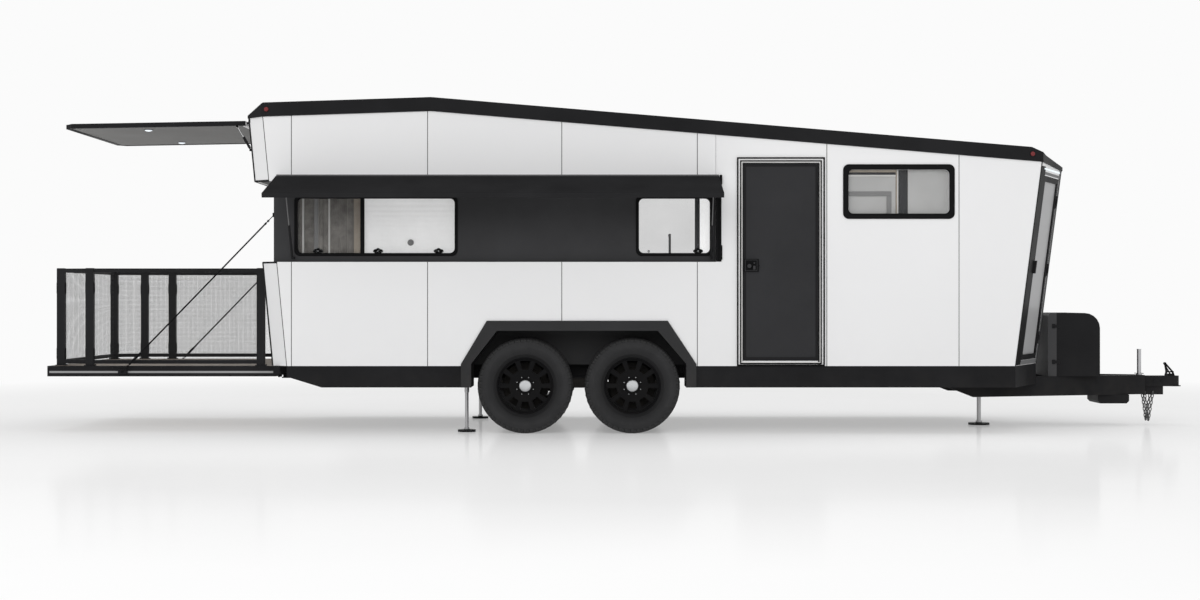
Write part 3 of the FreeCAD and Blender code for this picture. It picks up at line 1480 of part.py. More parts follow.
def make_hatch():
    """Top-hinged rear hatch that stands open, with its hinge rail and two struts."""
    half = S.hatch_thick / 2
    wide = S.hatch_half_width
    rim = S.hatch_rim
    root = S.hatch_root
    reach = S.hatch_reach
    slab = prism("hatch_slab", "XZ", -wide, wide, hatch_section(root, reach, -half, half))
    inner = prism(
        "hatch_pan",
        "XZ",
        -wide + rim,
        wide - rim,
        hatch_section(root + rim, reach - rim, -half - S.overrun, half - S.hatch_skin),
    )
    tools = [inner]
    for side in (NEAR, FAR):
        tip_x = S.hatch_hinge_x - reach
        corners = [
            (tip_x - S.overrun, (wide - S.hatch_corner) * side),
            (tip_x, (wide - S.hatch_corner) * side),
            (tip_x + S.hatch_corner, wide * side),
            (tip_x + S.hatch_corner, (wide + S.overrun) * side),
            (tip_x - S.overrun, (wide + S.overrun) * side),
        ]
        low = S.hatch_hinge_z - S.hatch_corner
        high = S.hatch_hinge_z + S.hatch_corner
        tools.append(prism(f"hatch_tip_{side_name(side)}", "XY", low, high, corners))
    panel = cut("hatch_shell", slab, tools)
    parts = [panel]
    lining = prism(
        "hatch_lining",
        "XZ",
        -wide + rim + S.seam_gap,
        wide - rim - S.seam_gap,
        hatch_section(
            root + rim + S.seam_gap,
            reach - rim - S.seam_gap,
            -half + S.seam_gap,
            half - S.hatch_skin,
        ),
    )
    rail_low = S.hatch_hinge_z - S.awning_rail_low
    rail_high = S.hatch_hinge_z + S.hatch_rail_high
    out_x = S.hatch_hinge_x + S.hatch_rail_gap
    rail = prism(
        "hatch_rail_bar",
        "XZ",
        -wide,
        wide,
        [
            (out_x, rail_low),
            (rear_x(rail_low), rail_low),
            (rear_x(rail_high), rail_high),
            (out_x, rail_high),
        ],
    )
    knuckles = []
    tab = S.knuckle_radius / 2
    run = wide * 2 - S.knuckle_length
    collar = S.knuckle_length * COLLAR_SHARE + S.knuckle_gap
    for number, share in enumerate(AWNING_KNUCKLE_SHARES, start=1):
        y = -wide + run * share
        knuckles.append(hinge(f"hatch_hinge_{number}", hatch_place(0, 0, y), (0, 1, 0)))
        section = hatch_section(0, root + rim / 2, -tab, tab)
        low_y, high_y = y + collar, y + S.knuckle_length - collar
        parts.append(prism(f"hatch_tab_{number}", "XZ", low_y, high_y, section))
    sizes = {
        "eye": S.strut_eye,
        "eye_thick": S.strut_eye_thick,
        "tube": S.hatch_tube,
        "rod": S.hatch_rod,
        "tube_length": S.hatch_tube_length,
        "rod_length": S.hatch_rod_length,
    }
    base = (-S.hatch_base_in, -S.hatch_base_drop)
    eye = hatch_point(S.hatch_lug_reach, -S.hatch_lug_drop)
    cylinders, rods, brackets = [], [], []
    lug = S.strut_eye
    for side in (NEAR, FAR):
        name = side_name(side)
        offset = wide + S.hatch_strut_out
        y = offset * side
        ends = strut_points(y, hatch_place, base, eye)
        cylinder, shaft = make_strut(f"hatch_strut_{name}", ends, (0, 1, 0), sizes)
        cylinders.append(cylinder)
        rods.append(shaft)
        section = hatch_section(
            S.hatch_lug_reach - lug, S.hatch_lug_reach + lug, -S.hatch_lug_drop - lug, half
        )
        low_y, high_y = span_y(side, wide - S.lug_thick, wide)
        parts.append(prism(f"hatch_lug_{name}", "XZ", low_y, high_y, section))
        boss_out = offset - S.strut_eye_thick / 2 - S.strut_side_gap
        low_y, high_y = span_y(side, wide - S.lug_thick, boss_out)
        boss_at = hatch_place(eye[0], eye[1], low_y)
        parts.append(rod(f"hatch_boss_{name}", S.pin_radius * 2, high_y - low_y, boss_at, (0, 1, 0)))
        pin_long = S.strut_eye_thick + S.strut_side_gap + S.lug_thick
        if side == FAR:
            pin_start = y - S.strut_eye_thick / 2
        else:
            pin_start = y + S.strut_eye_thick / 2 - pin_long
        pin_place = hatch_place(base[0], base[1], pin_start)
        pin = rod(f"hatch_base_pin_{name}", S.pin_radius, pin_long, pin_place, (0, 1, 0))
        plate_z = S.hatch_hinge_z - S.hatch_base_drop
        plate_out = S.hatch_hinge_x + S.hatch_base_in - lug
        plate_inner = offset + S.strut_eye_thick / 2 + S.strut_side_gap
        low_y, high_y = span_y(side, plate_inner, plate_inner + S.lug_thick)
        plate = prism(
            f"hatch_base_plate_{name}",
            "XZ",
            low_y,
            high_y,
            [
                (plate_out, plate_z - lug),
                (rear_x(plate_z - lug), plate_z - lug),
                (rear_x(plate_z + lug), plate_z + lug),
                (plate_out, plate_z + lug),
            ],
        )
        brackets.append(joined(f"hatch_base_{name}", [plate, pin]))
    hatch = joined("hatch_plain", parts)
    fixed, moving = hang("hatch_rail", rail, "hatch_panel", hatch, knuckles)
    gather("hinge_rails", [fixed])
    keep(moving)
    keep(lining)
    gather("strut_brackets", brackets)
    keep(grouped("hatch_cylinders", cylinders))
    keep(grouped("hatch_rods", rods))


# Chassis

def wheel_x(axle):
    """Axle places: 0 is the rear one and 1 the front one."""
    return S.rear_axle_x + S.axle_spacing * axle


WHEEL_Z = GROUND + S.tyre_radius


def make_chassis():
    """Main rails, cross members, outriggers and the beams that carry the walls."""
    rear, front = S.frame_rear_x, S.frame_front_x
    low, high = S.rail_low_z, S.wall_foot_z
    outer, inner = S.rail_outer, S.rail_outer - S.rail_width
    web = S.rail_web
    parts = []
    for side in (NEAR, FAR):
        name = side_name(side)
        section = [
            (inner, low),
            (outer, low),
            (outer, low + web),
            (inner + web, low + web),
            (inner + web, high - web),
            (outer, high - web),
            (outer, high),
            (inner, high),
        ]
        if side == NEAR:
            section = [(-size(y), z) for y, z in reversed(section)]
        parts.append(prism(f"rail_{name}", "YZ", rear, front, section))
        leg = S.rear_leg_radius * 2
        low_y, high_y = span_y(side, outer, S.rear_leg_y + leg)
        corner = (S.rear_leg_x - leg, low_y, low)
        parts.append(box(f"leg_arm_{name}", corner, (S.rear_leg_x + leg, high_y, low + S.member_width)))
    run = front - rear - S.member_width
    member_low = high - S.member_height
    for number, share in enumerate(MEMBER_SHARES, start=1):
        x = rear + run * share
        reach = S.beam_inner
        after_arch = (x + S.member_width).value > (S.arch_rear_x - S.overrun).value
        in_well = after_arch and x.value < (S.arch_front_x + S.overrun).value
        at_nose = (x + S.member_width * 2).value > side_front_x(S.wall_foot_z).value
        if in_well or at_nose:
            reach = outer
        low_corner = (x, -reach, member_low)
        parts.append(box(f"member_{number}", low_corner, (x + S.member_width, reach, high)))
    for side in (NEAR, FAR):
        low_y, high_y = span_y(side, S.beam_inner, HALF - S.skirt_thick)
        spans = (
            (side_rear_x(S.wall_foot_z), S.arch_rear_x),
            (S.arch_front_x, side_front_x(S.wall_foot_z)),
        )
        for number, (start, end) in enumerate(spans, start=1):
            label = f"wall_beam_{side_name(side)}_{number}"
            parts.append(box(label, (start, low_y, member_low), (end, high_y, high)))
    flat = HALF - S.front_corner_depth - S.skirt_thick * 2
    nose_x = S.front_foot_x - S.skirt_thick * 2
    parts.append(box("nose_member", (front, -flat, member_low), (nose_x, flat, high)))
    keep(joined("chassis_frame", parts))


def make_skirts():
    """Dark skirt plates round the chassis."""
    foot, low = S.wall_foot_z, S.skirt_low_z
    plates = []
    for side in (NEAR, FAR):
        low_y, high_y = span_y(side, HALF - S.skirt_thick, HALF)
        tail = side_rear_x(foot)
        rear = [
            (tail, foot),
            (tail, foot - S.skirt_tail_height),
            (tail + S.skirt_tail_length, low),
            (S.arch_rear_x, low),
            (S.arch_rear_x, foot),
        ]
        front = [
            (S.arch_front_x, foot),
            (S.arch_front_x, low),
            (side_front_x(foot), low),
            (side_front_x(foot), foot),
        ]
        name = side_name(side)
        plates.append(prism(f"skirt_rear_{name}", "XZ", low_y, high_y, rear))
        plates.append(prism(f"skirt_front_{name}", "XZ", low_y, high_y, front))
    thick = S.skirt_thick
    edge = S.front_foot_x - S.front_corner_length
    flat = HALF - S.front_corner_depth
    nose = [
        (edge, -HALF),
        (S.front_foot_x, -flat),
        (S.front_foot_x, flat),
        (edge, HALF),
        (edge, HALF - thick * 2),
        (S.front_foot_x - thick, flat - thick / 2),
        (S.front_foot_x - thick, -flat + thick / 2),
        (edge, -HALF + thick * 2),
    ]
    room = flat - thick
    notch = box(
        "skirt_notch",
        (S.front_foot_x - S.overrun, -room, low - S.overrun),
        (S.front_foot_x + S.overrun, room, S.rail_low_z + S.runner_gap),
    )
    plates.append(cut("skirt_nose", prism("skirt_nose_plate", "XY", low, foot, nose), [notch]))
    keep(grouped("skirts", plates))


def make_floor():
    """Cabin floor, notched round the wheel wells."""
    wall = S.wall_thick
    half = HALF - wall - S.seam_gap
    well = S.well_inner - S.seam_gap - S.liner_thick
    rear = S.band_rear_x + wall
    edge = side_front_x(S.wall_foot_z)
    front = S.front_foot_x - wall * 2
    flat = HALF - S.front_corner_depth - wall
    gap = S.liner_thick + S.seam_gap
    corner = side_rear_x(S.wall_foot_z)
    half_plan = [
        (rear, HALF - S.rear_corner_depth - wall / 2),
        (corner, half),
        (S.arch_rear_x - gap, half),
        (S.arch_rear_x - gap, well),
        (S.arch_front_x + gap, well),
        (S.arch_front_x + gap, half),
        (edge - wall, half),
        (front, flat),
    ]
    mirrored = [(x, -size(y)) for x, y in reversed(half_plan)]
    keep(prism("floor_panel", "XY", S.wall_foot_z, S.floor_top_z, half_plan + mirrored))


def make_wheel_arch(side):
    """Raised band round the wheel opening and the liner of the wheel well."""
    name = f"wheel_arch_{side_name(side)}"
    low = S.skirt_low_z

    def outline(grow):
        corners = arch_outline(size(grow))
        corners[0] = (corners[0][0], low)
        corners[-1] = (corners[-1][0], low)
        return corners

    low_y, high_y = span_y(side, HALF - S.arch_depth, HALF + S.arch_proud)
    outer, inner = outline(size(0)), outline(S.arch_band)
    band = prism(f"{name}_band", "XZ", low_y, high_y, outer + inner[::-1])
    liner_low_y, liner_high_y = span_y(side, S.well_inner, HALF - S.arch_depth)
    skin = outline(S.arch_band - S.liner_thick)
    liner = prism(f"{name}_liner", "XZ", liner_low_y, liner_high_y, skin + inner[::-1])
    back_low_y, back_high_y = span_y(side, S.well_inner - S.liner_thick, S.well_inner)
    back = outline(S.arch_band - S.liner_thick)
    back[0] = (back[0][0], S.wall_foot_z)
    back[-1] = (back[-1][0], S.wall_foot_z)
    plate = prism(f"{name}_back", "XZ", back_low_y, back_high_y, back)
    gather("wheel_arches", [joined(name, [band, liner, plate])])


def make_axles():
    """Two tube axles with spindles, and the spring seats on them."""
    axles = []
    for axle in (0, 1):
        x = wheel_x(axle)
        tube_half = S.axle_half
        tube = rod(f"axle_tube_{axle}", S.axle_radius, tube_half * 2, (x, -tube_half, WHEEL_Z), (0, 1, 0))
        reach = S.spindle_reach
        spindle = rod(f"axle_spindle_{axle}", S.spindle_radius, reach * 2, (x, -reach, WHEEL_Z), (0, 1, 0))
        parts = [tube, spindle]
        for side in (NEAR, FAR):
            low_y, high_y = span_y(side, S.spring_y - S.spring_width / 2, S.spring_y + S.spring_width / 2)
            seat = S.spring_seat
            parts.append(
                box(
                    f"spring_seat_{axle}_{side_name(side)}",
                    (x - seat, low_y, WHEEL_Z - S.axle_radius - S.seat_drop),
                    (x + seat, high_y, WHEEL_Z),
                )
            )
        axles.append(joined(f"axle_{axle}", parts))
    keep(grouped("axles", axles))


def make_hangers(side):
    """Spring hangers under a main rail, with the equaliser between the springs."""
    hangers = []
    reach = S.axle_spacing / 2 - S.equaliser_half
    foot = WHEEL_Z - S.eye_drop - S.hanger_lap
    low_y, high_y = span_y(side, S.spring_y - S.spring_width / 2, S.spring_y + S.spring_width / 2)
    name = side_name(side)
    mid = wheel_x(0) + S.axle_spacing / 2
    ends = (wheel_x(0) - reach, mid, wheel_x(1) + reach)
    for number, x in enumerate(ends, start=1):
        half = S.equaliser_half if number == 2 else S.hanger_half
        top = half / 2 if number == 2 else half * 1.4
        base = half + S.hanger_lap * 2
        outline = [
            (x - base, foot),
            (x + base, foot),
            (x + top, S.rail_low_z),
            (x - top, S.rail_low_z),
        ]
        hangers.append(prism(f"hanger_{name}_{number}", "XZ", low_y, high_y, outline))
    return hangers


def make_springs():
    """Leaf springs under the axles."""
    sets = []
    top = WHEEL_Z - S.axle_radius - S.seat_drop
    reach = S.axle_spacing / 2 - S.equaliser_half
    eye_z = WHEEL_Z - S.eye_drop
    for side in (NEAR, FAR):
        low_y, high_y = span_y(side, S.spring_y - S.spring_width / 2, S.spring_y + S.spring_width / 2)
        name = side_name(side)
        springs = []
        for axle in (0, 1):
            x = wheel_x(axle)
            thick = S.spring_thick
            outline = [
                (x - reach, eye_z),
                (x - reach / 2, top + (eye_z - top) / 4),
                (x - S.spring_seat, top),
                (x + S.spring_seat, top),
                (x + reach / 2, top + (eye_z - top) / 4),
                (x + reach, eye_z),
                (x + reach, eye_z - thick / 2),
                (x + reach / 2, top + (eye_z - top) / 4 - thick * 0.75),
                (x + S.spring_seat, top - thick),
                (x - S.spring_seat, top - thick),
                (x - reach / 2, top + (eye_z - top) / 4 - thick * 0.75),
                (x - reach, eye_z - thick / 2),
            ]
            springs.append(prism(f"spring_{name}_{axle}", "XZ", low_y, high_y, outline))
        sets.append(joined(f"spring_set_{name}", springs + make_hangers(side)))
    keep(grouped("leaf_springs", sets))


# Wheels

def make_wheel(axle, side):
    """Rim with windows and hub, and its tyre, drawn round their own axis and then placed."""
    name = f"{'rear' if axle == 0 else 'front'}_{side_name(side)}"
    turn = Rotation() if side == NEAR else Rotation(Vector(0, 0, 1), 180)
    place = (wheel_x(axle), S.track_half * side, WHEEL_Z)
    half = S.tyre_width / 2
    rim, out = S.rim_radius, S.tyre_radius
    shoulder = S.tyre_shoulder
    body = DOC.addObject("PartDesign::Body", f"tyre_{name}")
    sketch = body.newObject("Sketcher::SketchObject", f"tyre_{name}_profile")
    sketch.AttachmentSupport = [(origin_plane(body, "YZ_Plane"), "")]
    sketch.MapMode = "FlatFace"
    bead = half * BEAD_SHARE
    profile = [
        (-bead, rim),
        (bead, rim),
        (half - shoulder / 3, rim + shoulder / 2),
        (half, rim + shoulder * 1.6),
        (half - shoulder / 5, out - shoulder),
        (half - shoulder, out),
        (-half + shoulder, out),
        (-half + shoulder / 5, out - shoulder),
        (-half, rim + shoulder * 1.6),
        (-half + shoulder / 3, rim + shoulder / 2),
    ]
    add_loop(sketch, profile)
    turned = body.newObject("PartDesign::Revolution", f"tyre_{name}_turned")
    turned.Profile = sketch
    turned.ReferenceAxis = (sketch, ["H_Axis"])
    turned.Angle = 360
    move_to(body, place, turn)
    keep(body)
    body = DOC.addObject("PartDesign::Body", f"rim_{name}")
    sketch = body.newObject("Sketcher::SketchObject", f"rim_{name}_profile")
    sketch.AttachmentSupport = [(origin_plane(body, "YZ_Plane"), "")]
    sketch.MapMode = "FlatFace"
    face = -half + S.rim_face_inset
    wall = S.rim_wall
    hub = S.hub_radius
    deep = S.hub_length
    bore = S.spindle_radius + S.pin_clearance
    profile = [
        (-bead, rim),
        (-bead, rim - wall),
        (face, rim - wall),
        (face, hub * 1.3),
        (face - S.cap_proud, hub),
        (face - S.cap_proud, 0),
        (face + S.cap_proud, 0),
        (face + S.cap_proud, bore),
        (face + deep, bore),
        (face + deep, hub),
        (face + S.rim_disc, hub * 1.3),
        (face + S.rim_disc, rim - wall * 2),
        (bead, rim - wall),
        (bead, rim),
    ]
    add_loop(sketch, profile)
    turned = body.newObject("PartDesign::Revolution", f"rim_{name}_turned")
    turned.Profile = sketch
    turned.ReferenceAxis = (sketch, ["H_Axis"])
    turned.Angle = 360
    sketch = body.newObject("Sketcher::SketchObject", f"rim_{name}_window")
    sketch.AttachmentSupport = [(origin_plane(body, "XZ_Plane"), "")]
    sketch.MapMode = "FlatFace"
    bind(sketch, ".AttachmentOffset.Base.z", -(face + S.rim_disc + S.overrun / 2))
    low, high = hub * 2.4, rim - wall * 2
    narrow, broad = S.window_root, S.window_rim
    add_loop(
        sketch,
        [(-narrow / 2, low), (narrow / 2, low), (broad / 2, high), (-broad / 2, high)],
    )
    pocket = body.newObject("PartDesign::Pocket", f"rim_{name}_pocket")
    pocket.Profile = sketch
    bind(pocket, "Length", S.rim_disc + S.overrun)
    pocket.Reversed = True
    pattern = body.newObject("PartDesign::PolarPattern", f"rim_{name}_windows")
    pattern.Originals = [pocket]
    pattern.Axis = (origin_axis(body, "Y_Axis"), [""])
    pattern.Angle = 360
    pattern.Occurrences = RIM_WINDOWS
    body.Tip = pattern
    move_to(body, place, turn)
    keep(body)


def origin_axis(body, role):
    return [item for item in body.Origin.OriginFeatures if item.Role == role][0]


# Tongue

def make_tongue():
    """A-frame of the tongue with its nose block and cross plate."""
    low, high = S.tongue_low_z, S.rail_low_z
    wide = S.tongue_beam_width
    parts = []
    for side in (NEAR, FAR):
        root_y, tip_y = S.rail_outer - S.rail_width, S.tongue_tip_half
        corners = [
            (S.tongue_rear_x, root_y),
            (S.tongue_nose_x, tip_y - wide / 2),
            (S.tongue_nose_x, tip_y + wide / 2),
            (S.tongue_rear_x, root_y + wide),
        ]
        name = side_name(side)
        beam = prism(f"tongue_beam_{name}", "XY", low, high, both_sides(corners, side))
        heel_x = S.tongue_rear_x
        heel = [
            (heel_x - S.overrun, low - S.overrun),
            (heel_x + S.tongue_heel, low - S.overrun),
            (heel_x + S.tongue_heel, low),
            (heel_x, high - S.tongue_heel / 4),
            (heel_x - S.overrun, high - S.tongue_heel / 4),
        ]
        tool = prism(f"tongue_heel_{name}", "XZ", -HALF, HALF, heel)
        parts.append(cut(f"tongue_arm_{name}", beam, [tool]))
    nose = box(
        "tongue_nose",
        (S.tongue_nose_x - S.tongue_block, -S.tongue_tip_half, low),
        (S.tongue_nose_x, S.tongue_tip_half, high),
    )
    parts.append(nose)
    spread = (S.rail_outer - S.tongue_tip_half) / (S.tongue_nose_x - S.tongue_rear_x)
    tie_x = S.box_front_x - S.member_width
    tie_half = S.tongue_tip_half + spread * (S.tongue_nose_x - tie_x)
    parts.append(
        box(
            "tongue_tie",
            (tie_x, -tie_half, high - S.member_height),
            (tie_x + S.member_width, tie_half, high),
        )
    )
    keep(joined("tongue_frame", parts))


def make_coupler():
    """Ball coupler: a housing with a round nose, a lip round its foot and the ball's socket."""
    low, high = S.coupler_low_z, S.coupler_high_z
    half = S.coupler_half
    rear = S.tongue_nose_x
    body = box("coupler_body", (rear, -half, low), (0, half, high))
    nose = rod("coupler_nose", half, high - low, (0, 0, low))
    lip = rod("coupler_lip", half + S.coupler_lip, S.coupler_lip_thick, (0, 0, low))
    block = box(
        "coupler_block",
        (rear, -half + S.coupler_lip, low - S.coupler_block_height),
        (rear + S.coupler_block_length, half - S.coupler_lip, low),
    )
    solid = joined("coupler_solid", [body, nose, lip, block])
    socket = rod("coupler_socket", S.socket_radius, S.socket_depth, (0, 0, low))
    lever = bar_between(
        "coupler_latch_bar",
        S.latch_radius,
        (S.latch_foot_x, 0, high),
        (S.latch_top_x, 0, S.latch_top_z),
    )
    foot = box(
        "coupler_latch_foot",
        (S.latch_foot_x - S.latch_block, -S.latch_block / 2, high),
        (S.latch_foot_x + S.latch_block / 2, S.latch_block / 2, high + S.latch_block / 2),
    )
    latch = joined("coupler_latch_plain", [lever, foot])
    under = box("coupler_latch_trim", (rear, -half, low), (half, half, high))
    housing = cut("coupler_housing", solid, [socket])
    keep(joined("coupler", [housing, cut("coupler_latch", latch, [under])]))


def make_tongue_jack():
    """Jack on the tongue's nose: a tube on its flange, capped at the top."""
    x = S.tongue_nose_x - S.tongue_block / 2
    high = S.rail_low_z
    flange = rod("jack_flange", S.jack_tube * 1.4, S.jack_flange, (x, 0, high))
    tube = rod("jack_tube", S.jack_tube, S.jack_top_z - high, (x, 0, high))
    cap = rod("jack_cap", S.jack_tube * 1.1, S.jack_cap, (x, 0, S.jack_top_z - S.jack_cap))
    keep(joined("tongue_jack", [flange, tube, cap]))


def make_stands():
    """Two rear stabiliser legs and the centre leg at the front, down on their feet."""
    legs = []
    for side in (NEAR, FAR):
        place = (S.rear_leg_x, S.rear_leg_y * side)
        name = f"rear_{side_name(side)}"
        legs.append(make_leg(name, place, S.rear_leg_radius, S.rear_foot_radius, S.rail_low_z))
    top = S.wall_foot_z - S.member_height
    place = (S.front_leg_x, size(0))
    front = make_leg("front", place, S.front_leg_radius, S.front_foot_radius, top)
    keep(grouped("stands", legs + [front]))


def make_leg(name, place, radius, foot, top):
    """A drop leg: sleeve, shaft and foot."""
    x, y = place
    sleeve_low = S.skirt_low_z - S.leg_sleeve_drop
    sleeve = rod(f"leg_sleeve_{name}", radius * 1.3, top - sleeve_low, (x, y, sleeve_low))
    shaft = rod(f"leg_shaft_{name}", radius, sleeve_low - GROUND, (x, y, GROUND))
    pad = rod(f"leg_foot_{name}", foot, S.foot_thick, (x, y, GROUND))
    boss = rod(f"leg_boss_{name}", radius * 1.5, S.foot_thick * 2, (x, y, GROUND))
    return joined(f"stand_{name}", [sleeve, shaft, pad, boss])


def make_tongue_boxes():
    """Cover box on the tongue, in a rear part and a round-nosed front cover, and the box below."""
    low = S.rail_low_z
    half = S.box_half
    rear, seam, front, high = S.box_rear_x, S.box_seam_x, S.box_front_x, S.box_high_z
    back = [
        (rear, low),
        (seam, low),
        (seam, high),
        (rear + S.box_small_bevel, high),
        (rear, high - S.box_small_bevel),
    ]
    keep(prism("tongue_box_rear", "XZ", -half, half, back))
    bevel = S.box_bevel
    cover = [(seam + S.seam_gap / 10, low), (front, low), (front, high - bevel)]
    for share in range(1, BEVEL_STEPS):
        angle = math.radians(90 * share / BEVEL_STEPS)
        cover.append(
            (front - bevel + bevel * math.cos(angle), high - bevel + bevel * math.sin(angle))
        )
    cover += [(front - bevel, high), (seam + S.seam_gap / 10, high)]
    keep(prism("tongue_box_cover", "XZ", -half, half, cover))
    cut_in = S.under_box_bevel
    low_box = S.tongue_low_z - S.under_box_height
    outline = [
        (S.under_box_rear_x + cut_in, low_box),
        (S.under_box_front_x - cut_in, low_box),
        (S.under_box_front_x, low_box + cut_in),
        (S.under_box_front_x, S.tongue_low_z),
        (S.under_box_rear_x, S.tongue_low_z),
        (S.under_box_rear_x, low_box + cut_in),
    ]
    keep(prism("under_tongue_box", "XZ", -S.under_box_half, S.under_box_half, outline))


def make_chains():
    """Safety chains: each hangs in a V from two holes of the tongue's nose."""
    chains = []
    for side in (NEAR, FAR):
        y = S.chain_y * side
        rear = (S.chain_rear_x, y, S.chain_top_z)
        front = (S.chain_front_x, y, S.chain_top_z)
        low = (S.chain_low_x, y, S.chain_low_z)
        name = side_name(side)
        strands = [
            bar_between(f"chain_rear_{name}", S.chain_radius, rear, low),
            bar_between(f"chain_front_{name}", S.chain_radius, front, low),
        ]
        chains.append(joined(f"chain_{name}", strands))
    keep(grouped("safety_chains", chains))


# Rear deck

def make_deck():
    """Fold-down deck: edge beams, joists and boards."""
    front, rear = S.band_rear_x, S.deck_end_x
    low, high = S.deck_low_z, S.deck_high_z
    half, edge = S.deck_half, S.deck_beam
    parts = [
        box("deck_edge_near", (rear, -half, low), (front, -half + edge, high)),
        box("deck_edge_far", (rear, half - edge, low), (front, half, high)),
        box("deck_edge_end", (rear, -half, low), (rear + edge, half, high)),
        box("deck_edge_hinge", (front - edge, -half, low), (front, half, high)),
    ]
    board_low = high - S.board_thick
    run = front - rear - edge * 3
    for number, share in enumerate(JOIST_SHARES, start=1):
        x = rear + edge + run * share
        parts.append(box(f"deck_joist_{number}", (x, -half, low), (x + edge, half, board_low)))
    keep(joined("deck_frame", parts))
    boards = []
    inside = half - edge - S.seam_gap
    pitch = inside * 2 / DECK_BOARDS
    for number in range(DECK_BOARDS):
        start = -inside + pitch * number
        corner = (rear + edge + S.seam_gap, start + S.seam_gap / 2, board_low)
        far = (front - edge - S.seam_gap, start + pitch - S.seam_gap / 2, high)
        boards.append(box(f"deck_board_{number + 1}", corner, far))
    keep(grouped("deck_boards", boards))
    strips = []
    for side in (NEAR, FAR):
        low_y, high_y = span_y(side, half, half + S.strip_proud)
        for number, (start, end) in enumerate(
            (
                (rear + S.overrun, S.stay_deck_x - S.stay_lug),
                (S.stay_deck_x + S.stay_lug, front - S.overrun),
            ),
            start=1,
        ):
            label = f"deck_strip_{side_name(side)}_{number}"
            corner = (start, low_y, low + S.strip_low)
            strips.append(box(label, corner, (end, high_y, low + S.strip_high)))
    gather("light_strips", strips)


def post(label, x, y):
    """An upright of the guard, standing on the deck."""
    long, wide = S.post_length, S.post_width
    return box(
        label,
        (x - long / 2, y - wide / 2, S.deck_high_z),
        (x + long / 2, y + wide / 2, S.guard_top_z),
    )


def rail_between(label, start, end, low_z, high_z, wide):
    """A level rail between two plan points."""
    (x0, y0), (x1, y1) = start, end
    dx, dy = size(x1) - x0, size(y1) - y0
    long = root_of(dx * dx + dy * dy)
    ax, ay = dy / long * (wide / 2), -dx / long * (wide / 2)
    corners = [
        (x0 + ax, y0 + ay),
        (x1 + ax, y1 + ay),
        (x1 - ax, y1 - ay),
        (x0 - ax, y0 - ay),
    ]
    area = sum(
        size(a[0]).value * size(b[1]).value - size(b[0]).value * size(a[1]).value
        for a, b in zip(corners, corners[1:] + corners[:1])
    )
    if area < 0:
        corners.reverse()
    return prism(label, "XY", low_z, high_z, corners)


def guard_plan(side):
    """Plan corners of the guard on one side: end post, side post and wall end."""
    end = (S.guard_end_x, S.guard_end_half * side)
    turn = (S.guard_turn_x, S.guard_half * side)
    wall = (S.guard_wall_x, S.guard_half * side)
    return end, turn, wall


def mesh_grid(label, start, end, low, high):
    """Open grid of a guard panel: level bars and uprights between two plan points."""
    bar, thick = S.mesh_bar, S.mesh_thick
    (x0, y0), (x1, y1) = start, end
    dx, dy = size(x1) - x0, size(y1) - y0
    long = root_of(dx * dx + dy * dy)
    columns = MESH_CORNER_COLUMNS if label.startswith("corner") else MESH_COLUMNS
    step = (high - low - bar) / MESH_ROWS
    bars = []
    for row in range(MESH_ROWS + 1):
        z = low + step * row
        bars.append(rail_between(f"mesh_row_{label}_{row + 1}", start, end, z, z + bar, thick))
    for column in range(1, columns):
        reach = long * (column / columns)
        edges = [
            (x0 + dx / long * run, y0 + dy / long * run)
            for run in (reach - bar / 2, reach + bar / 2)
        ]
        bars.append(
            rail_between(f"mesh_upright_{label}_{column}", edges[0], edges[1], low, high, thick)
        )
    return joined(f"guard_grid_{label}", bars)


def make_guard():
    """Guard round the deck: posts, rails and mesh panels."""
    parts, sheets = [], []
    spans = []
    for side in (NEAR, FAR):
        name = side_name(side)
        end, turn, wall = guard_plan(side)
        parts.append(post(f"guard_post_end_{name}", *end))
        parts.append(post(f"guard_post_turn_{name}", *turn))
        parts.append(post(f"guard_post_wall_{name}", *wall))
        spans.append((f"corner_{name}", end, turn))
        spans.append((f"side_{name}", turn, wall))
    parts.append(post("guard_post_mid_far", S.guard_mid_x, S.guard_half))
    spans.append(("end", guard_plan(NEAR)[0], guard_plan(FAR)[0]))
    top, rail = S.guard_top_z, S.guard_rail
    foot = S.deck_high_z + S.guard_foot
    for label, start, end in spans:
        thick = S.guard_rail_thick
        parts.append(rail_between(f"guard_top_{label}", start, end, top - rail, top, thick))
        parts.append(rail_between(f"guard_low_{label}", start, end, foot, foot + rail, thick))
        sheets.append(mesh_grid(label, start, end, foot + rail, top - rail))
    frame = joined("guard_frame", parts)
    keep(frame)
    posts = []
    for side in (NEAR, FAR):
        for number, place in enumerate(guard_plan(side), start=1):
            posts.append(post(f"mesh_room_{side_name(side)}_{number}", *place))
    posts.append(post("mesh_room_mid", S.guard_mid_x, S.guard_half))
    keep(cut("guard_mesh", grouped("guard_sheets", sheets), posts))


